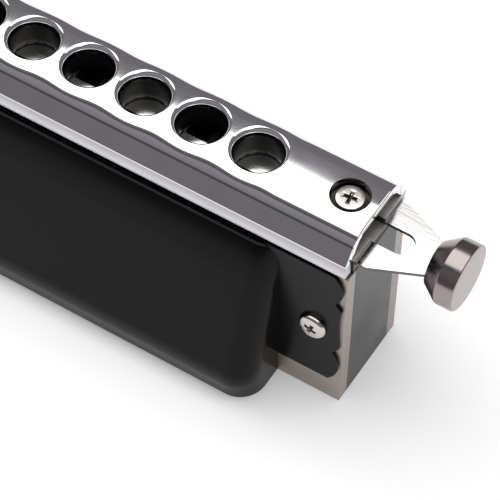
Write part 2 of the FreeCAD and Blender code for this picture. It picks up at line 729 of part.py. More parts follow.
back_plate = new_body("back_plate")
back_outline = new_sketch(back_plate, "YZ_Plane", "BackPlateChannel")
plate_half = "(Sizes.plate_width / 2)"
rail_top = "(Sizes.back_plate_thickness + %s)" % channel_height
draw_outlines(back_outline, [[
    ("-" + plate_half, "0"),
    (plate_half, "0"),
    (plate_half, rail_top),
    (channel_half, rail_top),
    (channel_half, "Sizes.back_plate_thickness"),
    ("-" + channel_half, "Sizes.back_plate_thickness"),
    ("-" + channel_half, rail_top),
    ("-" + plate_half, rail_top),
]])
pad(back_plate, back_outline, "BackPlateRun", "2 * " + half_length, both_ways=True)
back_openings = new_sketch(back_plate, "XY_Plane", "BackPlateOpenings")
draw_mouths(back_openings)
draw_fixings(back_openings)
cut(back_plate, back_openings, "BackPlateCuts", turned=True)
back_plate.setExpression("Placement.Base.z", back_plate_level)
nodes.append(back_plate)

front_plate = new_body("front_plate")
front_outline = new_sketch(front_plate, "XY_Plane", "FrontPlateOutline")
draw_box(front_outline, "-" + half_length, half_length, "-" + plate_half, plate_half)
pad(front_plate, front_outline, "FrontPlateSheet", "Sizes.front_plate_thickness")
notches = new_sketch(front_plate, "XY_Plane", "EndNotches")
draw_slot(notches, screw_place, "(%s + Sizes.end_margin)" % half_length, bumper_slot)
draw_slot(notches, "-(%s + Sizes.end_margin)" % half_length, "-" + screw_place, bumper_slot)
cut(front_plate, notches, "EndNotchCuts", turned=True)
front_hole_sketch = new_sketch(front_plate, "XY_Plane", "FrontHole")
draw_outlines(front_hole_sketch, [sided("-" + last_hole, "0", "Sizes.front_hole", 2 * hidden_sides, True)])
front_bore = cut(front_plate, front_hole_sketch, "FrontHoleCut", turned=True)
front_bores = front_plate.newObject("PartDesign::LinearPattern", "FrontHoles")
front_bores.Originals = [front_bore]
front_bores.Direction = (front_hole_sketch, ["H_Axis"])
front_bores.setExpression("Length", "2 * " + last_hole)
front_bores.setExpression("Occurrences", "Sizes.hole_count")
front_plate.Tip = front_bores
front_plate.setExpression("Placement.Base.z", front_plate_level)
doc.recompute()
nodes.append(front_plate)

# Slide: spring steel strip with the button out. Its windows alternate between the rows,
# so that pressing it moves every hole from one row of reeds to the other.
slide_half = "(Sizes.slide_width / 2)"
slide_tail = "(-%s + Sizes.slide_travel + Sizes.slide_tail_gap)" % half_length
taper_place = "(%s + Sizes.taper_start)" % half_length
button_place = "(%s + Sizes.button_reach)" % half_length
neck_half = "(Sizes.neck_width / 2)"
tang_end = "(%s + Sizes.tang_length)" % button_place

slide = new_body("slide")
slide_outline = new_sketch(slide, "XY_Plane", "SlideOutline")
draw_outlines(slide_outline, [[
    (slide_tail, "-" + slide_half),
    (taper_place, "-" + slide_half),
    (button_place, "-" + neck_half),
    (tang_end, "-" + neck_half),
    (tang_end, neck_half),
    (button_place, neck_half),
    (taper_place, slide_half),
    (slide_tail, slide_half),
]])
pad(slide, slide_outline, "SlideStrip", "Sizes.slide_thickness")
slide_slots = new_sketch(slide, "XY_Plane", "SlideSlots")
draw_slot(slide_slots, screw_place, "(%s + Sizes.slide_travel)" % screw_place, bumper_slot)
fork_start = "(%s - Sizes.end_margin)" % slide_tail
draw_slot(slide_slots, fork_start, "(Sizes.slide_travel - %s)" % screw_place, bumper_slot)
draw_hidden_holes(slide_slots, [(spring_top, "Sizes.spring_offset", "Sizes.spring_hole")])
cut(slide, slide_slots, "SlideSlotCuts", turned=True)
windows = new_sketch(slide, "XY_Plane", "SlideWindows")
window_near = "(Sizes.window_row_gap / 2)"
window_far = "(Sizes.window_row_gap / 2 + Sizes.window_depth)"
window_outlines = [box(
    "(%s + Sizes.slide_travel - Sizes.hole_bore / 2)" % last_hole,
    "(%s + Sizes.slide_travel + Sizes.hole_bore / 2)" % last_hole,
    window_near,
    window_far,
)]
for number in range(hole_total):
    middle = hole_place(number)
    left = "(%s - Sizes.window_width / 2)" % middle
    right = "(%s + Sizes.window_width / 2)" % middle
    if number == hole_total - 1:
        left = "(%s - Sizes.hole_bore / 2)" % middle
    if number % 2 == 0:
        window_outlines.append(box(left, right, "-" + window_far, "-" + window_near))
    else:
        window_outlines.append(box(left, right, window_near, window_far))
draw_outlines(windows, window_outlines)
cut(slide, windows, "SlideWindowCuts", turned=True)
slide.setExpression("Placement.Base.z", slide_level)
nodes.append(slide)

# Button: turned, with a cone towards the slide and a slot that holds the slide's tang.
button = new_body("slide_button")
button_profile = new_sketch(button, "XZ_Plane", "ButtonProfile")
cone_end = "(%s + Sizes.button_cone)" % button_place
button_end = "(%s + Sizes.button_rim)" % cone_end
draw_outlines(button_profile, [[
    (button_place, "0"),
    (button_place, "(Sizes.button_small / 2)"),
    (cone_end, "(Sizes.button_large / 2)"),
    ("(%s - Sizes.button_bevel)" % button_end, "(Sizes.button_large / 2)"),
    (button_end, "(Sizes.button_large / 2 - Sizes.button_bevel)"),
    (button_end, "0"),
]])
button_turn = button.newObject("PartDesign::Revolution", "ButtonTurn")
button_turn.Profile = button_profile
button_turn.ReferenceAxis = (button_profile, ["H_Axis"])
doc.recompute()
tang_slot = new_sketch(button, "YZ_Plane", "TangSlot", "(%s - Sizes.overrun)" % button_place)
tang_half = "(%s + Sizes.tang_clearance)" % neck_half
tang_rise = "(Sizes.slide_thickness / 2 + Sizes.tang_clearance)"
draw_box(tang_slot, "-" + tang_half, tang_half, "-" + tang_rise, tang_rise)
tang_depth = "(Sizes.overrun + Sizes.tang_length + Sizes.button_seat)"
cut(button, tang_slot, "TangSlotCut", tang_depth, turned=True)
button.setExpression("Placement.Base.z", slide_middle)
nodes.append(button)

# Bumpers: sleeves round the mouthpiece screws, which stop the slide and carry the posts.
bumper_height = "(%s + Sizes.front_plate_thickness)" % channel_height
bumpers = []
inserts = []
mouthpiece_screws = []
recess_floor = "(%s + Sizes.mouthpiece_rise - Sizes.recess_depth)" % mouthpiece_level
mouthpiece_screw_length = "(%s - Sizes.comb_height + Sizes.screw_engagement)" % recess_floor
for label, side in (("bass", "-"), ("treble", "")):
    bumper = new_body(label + "_bumper")
    bumper_ring = new_sketch(bumper, "XY_Plane", label + "_bumper_ring")
    draw_circle(bumper_ring, "0", "0", "Sizes.bumper_diameter")
    draw_hidden_holes(bumper_ring, [("0", "0", shank_hole)])
    pad(bumper, bumper_ring, label + "_bumper_sleeve", bumper_height)
    set_place(bumper, side + screw_place, "0", slide_bed)
    bumpers.append(bumper)

    insert = new_body(label + "_insert")
    insert_ring = new_sketch(insert, "XY_Plane", label + "_insert_ring")
    draw_hidden_shank(insert_ring, "0", "0", "Sizes.insert_diameter")
    draw_hidden_holes(insert_ring, [("0", "0", thread_hole)])
    pad(insert, insert_ring, label + "_insert_sleeve", "Sizes.insert_length")
    set_place(insert, side + screw_place, "0", "Sizes.comb_height - Sizes.insert_length")
    inserts.append(insert)

    screw = make_screw(
        label + "_mouthpiece_screw",
        "Sizes.screw_head",
        "Sizes.screw_head_rise",
        "Sizes.screw_shank",
        mouthpiece_screw_length,
    )
    set_place(screw, side + screw_place, "0", recess_floor)
    mouthpiece_screws.append(screw)
doc.recompute()
nodes.append(group("screw_bumpers", bumpers))
nodes.append(group("mouthpiece_inserts", inserts))
nodes.append(group("mouthpiece_screws", mouthpiece_screws))

# Mouthpiece: plated brass, solid round the blow holes and hollow at both ends, with side
# walls that hang over the edges of the slide's plates.
mouthpiece = new_body("mouthpiece")
mouthpiece_arch = new_sketch(mouthpiece, "YZ_Plane", "MouthpieceArch")
draw_arch(
    mouthpiece_arch,
    mouthpiece_outside,
    "-Sizes.mouthpiece_skirt",
    "Sizes.mouthpiece_rise",
    "Sizes.mouthpiece_shoulder",
)
pad(mouthpiece, mouthpiece_arch, "MouthpieceBar", "2 * " + mouthpiece_end, both_ways=True)
channel = new_sketch(mouthpiece, "YZ_Plane", "MouthpieceChannel")
channel_low = "-(Sizes.mouthpiece_skirt + Sizes.overrun)"
draw_box(channel, "-" + mouthpiece_inside, mouthpiece_inside, channel_low, "0")
cut(mouthpiece, channel, "ChannelCut", both_ways=True)
roof_level = "(Sizes.mouthpiece_rise - Sizes.mouthpiece_roof)"
for side, turned, name in (("", False, "Treble"), ("-", True, "Bass")):
    hollow = new_sketch(mouthpiece, "YZ_Plane", name + "EndArch", side + mouthpiece_end)
    draw_arch(
        hollow,
        mouthpiece_inside,
        "-Sizes.overrun / 2",
        roof_level,
        "(Sizes.mouthpiece_shoulder - Sizes.mouthpiece_wall)",
    )
    cut(mouthpiece, hollow, name + "EndHollow", "Sizes.mouthpiece_hollow", turned=turned)
cup_level = "(Sizes.mouthpiece_rise - Sizes.recess_depth - Sizes.cup_floor)"
cup_diameter = "(Sizes.recess_diameter + 2 * Sizes.cup_wall)"
cup_sketch = new_sketch(mouthpiece, "XY_Plane", "ScrewCups", cup_level)
post_sketch = new_sketch(mouthpiece, "XY_Plane", "ScrewPosts")
recess_sketch = new_sketch(mouthpiece, "XY_Plane", "ScrewRecesses", "Sizes.mouthpiece_rise")
screw_hole_sketch = new_sketch(mouthpiece, "XY_Plane", "ScrewHoles", "Sizes.mouthpiece_rise")
for side in ("-", ""):
    draw_circle(cup_sketch, side + screw_place, "0", cup_diameter)
    draw_circle(post_sketch, side + screw_place, "0", "Sizes.post_diameter")
    draw_circle(recess_sketch, side + screw_place, "0", "Sizes.recess_diameter")
draw_hidden_holes(screw_hole_sketch, [(side + screw_place, "0", shank_hole) for side in ("-", "")])
pad(mouthpiece, cup_sketch, "ScrewCup", "%s - %s" % (roof_level, cup_level))
pad(mouthpiece, post_sketch, "ScrewPost", cup_level)
cut(mouthpiece, recess_sketch, "ScrewRecess", "Sizes.recess_depth")
cut(mouthpiece, screw_hole_sketch, "ScrewBore")
bore_sketch = new_sketch(mouthpiece, "XY_Plane", "BlowHole", "Sizes.mouthpiece_rise")
draw_circle(bore_sketch, "-" + last_hole, "0", "Sizes.hole_bore")
bore = cut(mouthpiece, bore_sketch, "BlowHoleBore")
bores = mouthpiece.newObject("PartDesign::LinearPattern", "BlowHoles")
bores.Originals = [bore]
bores.Direction = (bore_sketch, ["H_Axis"])
bores.setExpression("Length", "2 * " + last_hole)
bores.setExpression("Occurrences", "Sizes.hole_count")
mouthpiece.Tip = bores
doc.recompute()


def is_rim(edge):
    if not isinstance(edge.Curve, Part.Circle):
        return False
    on_top = same(edge.BoundBox.ZMin, size("Sizes.mouthpiece_rise"))
    return on_top and same(edge.Curve.Radius, size("Sizes.hole_bore / 2"))


def is_skirt_corner(edge):
    bounds = edge.BoundBox
    at_end = same(abs(bounds.XMin), size(mouthpiece_end)) and same(bounds.XMin, bounds.XMax)
    return at_end and same(bounds.ZMax, -size("Sizes.mouthpiece_skirt"))


rim_size = "(Sizes.hole_rim - Sizes.hole_bore) / 2"
dress(mouthpiece, "Chamfer", "HoleRims", is_rim, rim_size)
dress(mouthpiece, "Fillet", "SkirtCorners", is_skirt_corner, "Sizes.mouthpiece_corner")
mouthpiece.setExpression("Placement.Base.z", mouthpiece_level)
nodes.append(mouthpiece)

# Covers: sheet steel pressed into a bulge that opens at the back, with a flange at each
# end whose tip is cut to a bracket curve.


def corner_arc(before, corner, after, radius):
    """Tangent arc that rounds a corner, with its two ends."""
    inward = (before - corner).normalize()
    onward = (after - corner).normalize()
    half_angle = inward.getAngle(onward) / 2
    reach = radius / math.tan(half_angle)
    start = corner + inward * reach
    end = corner + onward * reach
    towards_centre = (inward + onward).normalize()
    middle = corner + towards_centre * (radius / math.sin(half_angle) - radius)
    return start, Part.Arc(start, middle, end).toShape(), end


def bulge_solid(inset):
    """The bulge as a solid whose faces lie inset below the cover's outer faces."""
    root_depth = size("Sizes.cover_ledge - Sizes.cover_corner - Sizes.overrun")
    lip_level = size("Sizes.cover_front - Sizes.cover_lip")
    bend_radius = size("Sizes.cover_bend")
    ledge = FreeCAD.Vector(0, -size("Sizes.cover_ledge"), lip_level)
    belly = FreeCAD.Vector(0, -size("Sizes.cover_belly"), size("Sizes.cover_belly_height"))
    hem = FreeCAD.Vector(0, -size("Sizes.cover_hem"), 0)
    root = FreeCAD.Vector(0, -root_depth, lip_level)
    tail = hem + (hem - belly) * (size("Sizes.cover_corner + Sizes.overrun") / belly.z)
    base = FreeCAD.Vector(0, -root_depth, tail.z)
    bend_start, bend, bend_end = corner_arc(ledge, belly, hem, bend_radius)
    outline = Part.Wire([
        Part.LineSegment(root, ledge).toShape(),
        Part.LineSegment(ledge, bend_start).toShape(),
        bend,
        Part.LineSegment(bend_end, tail).toShape(),
        Part.LineSegment(tail, base).toShape(),
        Part.LineSegment(base, root).toShape(),
    ])
    if inset > 0:
        outline = outline.makeOffset2D(-inset)
    half_span = size(half_length) - size("Sizes.bulge_margin") - inset
    face = Part.Face(outline)
    face.translate(FreeCAD.Vector(-half_span, 0, 0))
    solid = face.extrude(FreeCAD.Vector(2 * half_span, 0, 0))
    front = outline.BoundBox.ZMax
    plate = size(plate_face)
    end_edges = []
    for edge in solid.Edges:
        bounds = edge.BoundBox
        at_end = same(abs(bounds.XMin), half_span) and same(bounds.XMin, bounds.XMax)
        flat = same(bounds.ZMin, bounds.ZMax)
        if at_end and bounds.YMax < -plate and not flat:
            end_edges.append(edge)
    solid = solid.makeFillet(size("Sizes.cover_corner") - inset, end_edges)
    fold_edges = []
    for edge in solid.Edges:
        bounds = edge.BoundBox
        along = bounds.XLength > half_span
        if along and same(bounds.ZMin, front) and bounds.YMax < -plate:
            fold_edges.append(edge)
    return solid.makeFillet(size("Sizes.cover_fold") - inset, fold_edges)


def flange_outline():
    """Flat outline of the cover's flange, in the XZ plane."""
    tip = half_length + " - Sizes.flange_margin"
    middle = size("Sizes.flange_middle")
    start = size("%s - Sizes.lobe_inset" % tip)
    front = size("Sizes.cover_front")
    foot = size("Sizes.flange_foot")
    lobe = size("Sizes.flange_lobe")
    notch = size("%s - Sizes.notch_depth" % tip)
    notch_half = size("Sizes.notch_half")
    cusp_half = size("Sizes.cusp_half")
    waist = size("%s - Sizes.waist_depth" % tip)
    tip = size(tip)
    edges = []
    shoulders = []
    for side in (1, -1):
        upper_start = FreeCAD.Vector(side * start, 0, front)
        upper_lobe = FreeCAD.Vector(side * tip, 0, front - lobe)
        upper_notch = FreeCAD.Vector(side * notch, 0, middle + notch_half)
        upper_cusp = FreeCAD.Vector(side * tip, 0, middle + cusp_half)
        hollow = FreeCAD.Vector(side * waist, 0, middle)
        lower_cusp = FreeCAD.Vector(side * tip, 0, middle - cusp_half)
        lower_notch = FreeCAD.Vector(side * notch, 0, middle - notch_half)
        lower_lobe = FreeCAD.Vector(side * tip, 0, foot + lobe)
        lower_start = FreeCAD.Vector(side * start, 0, foot)
        edges.append(Part.Arc(upper_start, upper_lobe, upper_notch).toShape())
        edges.append(Part.LineSegment(upper_notch, upper_cusp).toShape())
        edges.append(Part.Arc(upper_cusp, hollow, lower_cusp).toShape())
        edges.append(Part.LineSegment(lower_cusp, lower_notch).toShape())
        edges.append(Part.Arc(lower_notch, lower_lobe, lower_start).toShape())
        shoulders.append((upper_start, lower_start))
    for right_end, left_end in zip(*shoulders):
        edges.append(Part.LineSegment(right_end, left_end).toShape())
    return Part.Wire(Part.__sortEdges__(edges))


def make_lower_cover():
    thickness = size("Sizes.cover_thickness")
    outer = bulge_solid(0)
    inner = bulge_solid(thickness)
    face = size(plate_face)
    reach = size("Sizes.cover_belly")
    span = size(half_length)
    corner = FreeCAD.Vector(-span, -face - reach, 0)
    keep = Part.makeBox(2 * span, reach, size("Sizes.comb_height"), corner)
    flange = Part.Face(flange_outline())
    flange.translate(FreeCAD.Vector(0, -face, 0))
    flange = flange.extrude(FreeCAD.Vector(0, -thickness, 0))
    cover = outer.common(keep).fuse(flange).cut(inner)
    for side in (-1, 1):
        bore_start = FreeCAD.Vector(side * size(bolt_place), 0, size("Sizes.bolt_height"))
        radius = size(shank_hole) / 2
        cover = cover.cut(Part.makeCylinder(radius, face + reach, bore_start, FreeCAD.Vector(0, -1, 0)))
    return cover.removeSplitter()


lower_cover_shape = make_lower_cover()
upper_cover_shape = lower_cover_shape.mirror(FreeCAD.Vector(), FreeCAD.Vector(0, 1, 0))
nodes.append(plain_part("lower_cover", lower_cover_shape))
nodes.append(plain_part("upper_cover", upper_cover_shape))

# Cover bolts and nuts: one pair at each end, right through comb and covers.
cover_bolt_length = "(2 * %s + Sizes.nut_height)" % cover_face
cover_screws = []
cover_nuts = []
for label, side in (("bass", "-"), ("treble", "")):
    screw = make_screw(
        label + "_cover_screw",
        "Sizes.bolt_head",
        "Sizes.bolt_head_rise",
        "Sizes.screw_shank",
        cover_bolt_length,
    )
    screw.Placement = FreeCAD.Placement(FreeCAD.Vector(), to_lower_side)
    set_place(screw, side + bolt_place, "-" + cover_face, "Sizes.bolt_height")
    cover_screws.append(screw)

    nut = new_body(label + "_cover_nut")
    nut_outline = new_sketch(nut, "XZ_Plane", label + "_nut_outline")
    corner = "(Sizes.nut_flats / sqrt(3))"
    flat = "(Sizes.nut_flats / 2)"
    draw_outlines(nut_outline, [[
        (corner, "0"),
        ("(%s / 2)" % corner, flat),
        ("(-%s / 2)" % corner, flat),
        ("-" + corner, "0"),
        ("(-%s / 2)" % corner, "-" + flat),
        ("(%s / 2)" % corner, "-" + flat),
    ]])
    draw_hidden_holes(nut_outline, [("0", "0", thread_hole)])
    pad(nut, nut_outline, label + "_nut_block", "Sizes.nut_height", turned=True)
    set_place(nut, side + bolt_place, cover_face, "Sizes.bolt_height")
    cover_nuts.append(nut)
doc.recompute()
nodes.append(group("cover_screws", cover_screws))
nodes.append(group("cover_nuts", cover_nuts))

# Return spring: music wire, its foot in the comb and its leg in the slide's tail.
spring = new_body("slide_spring")
spring_path = new_sketch(spring, "XZ_Plane", "SpringPath", "-Sizes.spring_offset")
foot_start = "(%s - Sizes.spring_socket)" % pocket_left
bend_start = "(%s - Sizes.spring_bend)" % spring_foot_place
leg_top = "(%s + Sizes.slide_thickness)" % slide_level
bend_radius = size("Sizes.spring_bend")
centre = FreeCAD.Vector(size(bend_start), size("Sizes.spring_height") + bend_radius, 0)
leg_start = centre + FreeCAD.Vector(bend_radius, 0, 0)
bend_circle = Part.Circle(centre, FreeCAD.Vector(0, 0, 1), bend_radius)
foot_end = centre - FreeCAD.Vector(0, bend_radius, 0)
spring_path.addGeometry([
    Part.LineSegment(FreeCAD.Vector(size(foot_start), foot_end.y, 0), foot_end),
    Part.ArcOfCircle(bend_circle, -math.pi / 2, 0),
    Part.LineSegment(leg_start, FreeCAD.Vector(size(spring_top), size(leg_top), 0)),
], False)
spring_path.addConstraint([
    Sketcher.Constraint("Tangent", 0, 2, 1, 1),
    Sketcher.Constraint("Tangent", 1, 2, 2, 1),
    Sketcher.Constraint("Horizontal", 0),
])
fix_all(spring_path, [
    ("DistanceX", 0, 1, foot_start),
    ("DistanceY", 0, 1, "Sizes.spring_height"),
    ("DistanceX", 0, 2, bend_start),
    ("DistanceX", 2, 2, spring_top),
    ("DistanceY", 2, 2, leg_top),
])
radius_index = spring_path.addConstraint(Sketcher.Constraint("Radius", 1, bend_radius))
spring_path.setExpression("Constraints[%d]" % radius_index, "Sizes.spring_bend")
spring_section = new_sketch(spring, "YZ_Plane", "SpringSection", foot_start)
draw_hidden_shank(spring_section, "Sizes.spring_offset", "Sizes.spring_height", "Sizes.spring_wire")
spring_wire = spring.newObject("PartDesign::AdditivePipe", "SpringWire")
spring_wire.Profile = spring_section
spring_wire.Spine = spring_path
doc.recompute()
nodes.append(spring)

# Every feature and sub-part must be sound before anything is written.
for feature in doc.Objects:
    if "Invalid" in feature.State or "Error" in feature.State:
        raise ValueError("%s failed" % feature.Label)
for node in nodes:
    if node.Shape.isNull() or not node.Shape.isValid():
        raise ValueError("%s has no sound shape" % node.Label)
    print("%-26s %9.2f mm3 %4d faces" % (node.Label, node.Shape.Volume, len(node.Shape.Faces)))

os.makedirs("parts", exist_ok=True)
for node in nodes:
    node.Shape.exportStep("parts/%s.step" % node.Label)
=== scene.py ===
import math

import bmesh
import bpy
from mathutils import Matrix, Vector


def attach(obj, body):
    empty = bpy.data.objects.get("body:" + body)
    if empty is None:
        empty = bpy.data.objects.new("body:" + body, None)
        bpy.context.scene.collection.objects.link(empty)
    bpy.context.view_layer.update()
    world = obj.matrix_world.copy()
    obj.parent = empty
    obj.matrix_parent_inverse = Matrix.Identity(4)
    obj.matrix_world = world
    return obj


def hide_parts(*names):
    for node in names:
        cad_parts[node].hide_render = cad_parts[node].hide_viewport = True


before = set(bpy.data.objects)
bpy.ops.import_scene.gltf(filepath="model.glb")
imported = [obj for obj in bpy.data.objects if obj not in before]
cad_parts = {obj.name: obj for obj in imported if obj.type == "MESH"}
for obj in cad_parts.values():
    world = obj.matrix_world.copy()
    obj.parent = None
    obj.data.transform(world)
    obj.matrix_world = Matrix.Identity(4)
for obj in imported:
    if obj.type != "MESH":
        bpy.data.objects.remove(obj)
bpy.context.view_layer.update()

# A chromatic harmonica standing on its back: comb, reed plates, slide with its button,
# mouthpiece and two black covers. Sizes are in millimetres and are turned to metres by mm.
mm = 0.001


# Comb. One block of black moulded plastic with a row of reed chambers on each side, smooth
# from the mould and very slightly uneven.
def new_group(name, inputs, outputs):
    """Node group with named sockets; inputs are (name, socket type, value)."""
    tree = bpy.data.node_groups.new(name, "ShaderNodeTree")
    for label, kind, value in inputs:
        socket = tree.interface.new_socket(name=label, in_out="INPUT", socket_type=kind)
        socket.default_value = value
    for label, kind in outputs:
        tree.interface.new_socket(name=label, in_out="OUTPUT", socket_type=kind)
    return tree, tree.nodes.new("NodeGroupInput"), tree.nodes.new("NodeGroupOutput")


def add_node(tree, kind, settings=None, **values):
    """Node with its settings, and with values on its named input sockets."""
    node = tree.nodes.new(kind)
    for key, setting in (settings or {}).items():
        setattr(node, key, setting)
    for key, value in values.items():
        node.inputs[key.replace("_", " ")].default_value = value
    return node


def add_effect(tree, group, **values):
    """An effect group placed in a material with its own values."""
    return add_node(tree, "ShaderNodeGroup", {"node_tree": group}, **values)


def ramp(tree, source, start, end, low=0.0, high=1.0, course="LINEAR"):
    """A value that goes from low to high while the source goes from start to end."""
    node = add_node(tree, "ShaderNodeMapRange", {"interpolation_type": course})
    for label, value in (("From Min", start), ("From Max", end), ("To Min", low), ("To Max", high)):
        node.inputs[label].default_value = value
    tree.links.new(source, node.inputs["Value"])
    return node.outputs["Result"]


# Soft edges: a rounded normal along the sharp edges, and a mask of where they are, from the
# cosine between the rounded and the true normal.
on_the_flat, on_the_edge = 0.995, 0.80
soft_edges, edge_in, edge_out = new_group(
    "SoftEdges",
    [("Radius", "NodeSocketFloat", 0.1 * mm)],
    [("Normal", "NodeSocketVector"), ("Edge", "NodeSocketFloat")],
)
round_over = add_node(soft_edges, "ShaderNodeBevel", {"samples": 4})
true_shape = add_node(soft_edges, "ShaderNodeNewGeometry")
likeness = add_node(soft_edges, "ShaderNodeVectorMath", {"operation": "DOT_PRODUCT"})
soft_edges.links.new(edge_in.outputs["Radius"], round_over.inputs["Radius"])
soft_edges.links.new(round_over.outputs["Normal"], likeness.inputs[0])
soft_edges.links.new(true_shape.outputs["Normal"], likeness.inputs[1])
soft_edges.links.new(round_over.outputs["Normal"], edge_out.inputs["Normal"])
edge_mask = ramp(soft_edges, likeness.outputs["Value"], on_the_flat, on_the_edge)
soft_edges.links.new(edge_mask, edge_out.inputs["Edge"])

# Grain: fine unevenness for a bump, and broad cloudy patches as handling leaves them.
grain, grain_in, grain_out = new_group(
    "Grain",
    [("Fine Scale", "NodeSocketFloat", 2000.0), ("Broad Scale", "NodeSocketFloat", 60.0)],
    [("Height", "NodeSocketFloat"), ("Patches", "NodeSocketFloat")],
)
grain_place = add_node(grain, "ShaderNodeTexCoord")
fine_noise = add_node(grain, "ShaderNodeTexNoise", Detail=3.0, Roughness=0.6)
broad_noise = add_node(grain, "ShaderNodeTexNoise", Detail=4.0, Roughness=0.55)
grain.links.new(grain_place.outputs["Object"], fine_noise.inputs["Vector"])
grain.links.new(grain_place.outputs["Object"], broad_noise.inputs["Vector"])
grain.links.new(grain_in.outputs["Fine Scale"], fine_noise.inputs["Scale"])
grain.links.new(grain_in.outputs["Broad Scale"], broad_noise.inputs["Scale"])
grain.links.new(fine_noise.outputs["Fac"], grain_out.inputs["Height"])
grain.links.new(broad_noise.outputs["Fac"], grain_out.inputs["Patches"])


def spread(tree, noise, low, high):
    """A noise, most of which lies between 0.3 and 0.7, spread over a range."""
    return ramp(tree, noise, 0.3, 0.7, low, high)


def blend_colours(tree, source, first, second):
    """Colour between two, by a 0 to 1 value."""
    node = add_node(tree, "ShaderNodeMix", {"data_type": "RGBA"})
    node.inputs[6].default_value = (*first, 1.0)
    node.inputs[7].default_value = (*second, 1.0)
    tree.links.new(source, node.inputs[0])
    return node.outputs[2]


def new_finish(name, **values):
    """Material whose own sockets get the values that don't change over the surface."""
    finish = bpy.data.materials.new(name)
    finish.use_nodes = True
    shader = finish.node_tree.nodes["Principled BSDF"]
    for key, value in values.items():
        shader.inputs[key.replace("_", " ")].default_value = value
    return finish, finish.node_tree, shader


def give_colour(tree, shader, mask, first, second):
    """Base colour that changes between two over the surface."""
    tree.links.new(blend_colours(tree, mask, first, second), shader.inputs["Base Color"])


def give_roughness(tree, shader, noise, low, high):
    """Roughness that changes between two values over the surface."""
    tree.links.new(spread(tree, noise, low, high), shader.inputs["Roughness"])


def give_bump(tree, shader, height, depth, strength=1.0, normal=None):
    """Fine relief on the shader, on top of another normal if there is one."""
    bump = add_node(tree, "ShaderNodeBump", Strength=strength, Distance=depth)
    tree.links.new(height, bump.inputs["Height"])
    if normal is not None:
        tree.links.new(normal, bump.inputs["Normal"])
    tree.links.new(bump.outputs["Normal"], shader.inputs["Normal"])


def finish_nodes(finish, *names):
    """The material on the slots of CAD nodes."""
    for name in names:
        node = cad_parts[name]
        if not node.material_slots:
            node.data.materials.append(finish)
        for place in node.material_slots:
            place.material = finish


comb_plastic, tree, shader = new_finish("comb_plastic", IOR=1.5, Specular_IOR_Level=0.28)
edges = add_effect(tree, soft_edges, Radius=0.25 * mm)
skin = add_effect(tree, grain, Fine_Scale=2600.0, Broad_Scale=90.0)
give_colour(tree, shader, skin.outputs["Patches"], (0.017, 0.016, 0.020), (0.023, 0.021, 0.027))
give_roughness(tree, shader, skin.outputs["Patches"], 0.26, 0.36)
give_bump(tree, shader, skin.outputs["Height"], 0.004 * mm, 0.6, edges.outputs["Normal"])
finish_nodes(comb_plastic, "comb")


# Reed plates. Rolled brass sheet with a nickel wash, brushed along its length, one screwed
# to each side of the comb; the edge that shows past the cover is slightly tarnished.
brushing, brush_in, brush_out = new_group(
    "Brushing",
    [("Stretch", "NodeSocketVector", (300.0, 6000.0, 6000.0))],
    [("Height", "NodeSocketFloat"), ("Streaks", "NodeSocketFloat")],
)
brush_place = add_node(brushing, "ShaderNodeTexCoord")
brush_map = add_node(brushing, "ShaderNodeMapping")
brush_noise = add_node(brushing, "ShaderNodeTexNoise", Scale=1.0, Detail=2.0, Roughness=0.5)
brush_patch = add_node(brushing, "ShaderNodeTexNoise", Scale=0.25, Detail=3.0, Roughness=0.6)
brushing.links.new(brush_place.outputs["Object"], brush_map.inputs["Vector"])
brushing.links.new(brush_in.outputs["Stretch"], brush_map.inputs["Scale"])
brushing.links.new(brush_map.outputs["Vector"], brush_noise.inputs["Vector"])
brushing.links.new(brush_map.outputs["Vector"], brush_patch.inputs["Vector"])
brushing.links.new(brush_noise.outputs["Fac"], brush_out.inputs["Height"])
brushing.links.new(brush_patch.outputs["Fac"], brush_out.inputs["Streaks"])

plate_metal, tree, shader = new_finish("reed_plate_metal", Metallic=1.0)
edges = add_effect(tree, soft_edges, Radius=0.12 * mm)
lines = add_effect(tree, brushing, Stretch=(250.0, 4000.0, 4000.0))
wear = add_effect(tree, grain, Fine_Scale=900.0, Broad_Scale=120.0)
give_colour(tree, shader, wear.outputs["Patches"], (0.34, 0.29, 0.26), (0.46, 0.41, 0.38))
give_roughness(tree, shader, lines.outputs["Streaks"], 0.40, 0.55)
give_bump(tree, shader, lines.outputs["Height"], 0.003 * mm, 0.5, edges.outputs["Normal"])
finish_nodes(plate_metal, "lower_reed_plate", "upper_reed_plate")


# Reeds, their rivets and the comb's inserts. Bare brass: blades milled to a thickness that
# gives the note and riveted to the plates, with the long scratches of milling and filing.
brass, tree, shader = new_finish("reed_brass", Metallic=1.0)
lines = add_effect(tree, brushing, Stretch=(9000.0, 9000.0, 500.0))
wear = add_effect(tree, grain, Fine_Scale=1500.0, Broad_Scale=200.0)
give_colour(tree, shader, wear.outputs["Patches"], (0.66, 0.46, 0.20), (0.78, 0.58, 0.28))
give_roughness(tree, shader, lines.outputs["Streaks"], 0.22, 0.42)
give_bump(tree, shader, lines.outputs["Height"], 0.003 * mm, 0.6)
finish_nodes(
    brass,
    "lower_draw_reeds",
    "upper_draw_reeds",
    "lower_blow_reeds",
    "upper_blow_reeds",
    "lower_reed_rivets",
    "upper_reed_rivets",
    "mouthpiece_inserts",
)


# Windsaver valves. Strips of frosted plastic film glued at one end over the reed slots on
# the side away from the reed.
valve_film, tree, shader = new_finish("valve_film", IOR=1.45, Sheen_Weight=0.1)
frost = add_effect(tree, grain, Fine_Scale=4000.0, Broad_Scale=400.0)
give_colour(tree, shader, frost.outputs["Patches"], (0.70, 0.69, 0.64), (0.80, 0.79, 0.75))
give_roughness(tree, shader, frost.outputs["Height"], 0.5, 0.7)
give_bump(tree, shader, frost.outputs["Height"], 0.002 * mm, 0.5)
finish_nodes(
    valve_film,
    "lower_outer_valves",
    "lower_inner_valves",
    "upper_outer_valves",
    "upper_inner_valves",
)


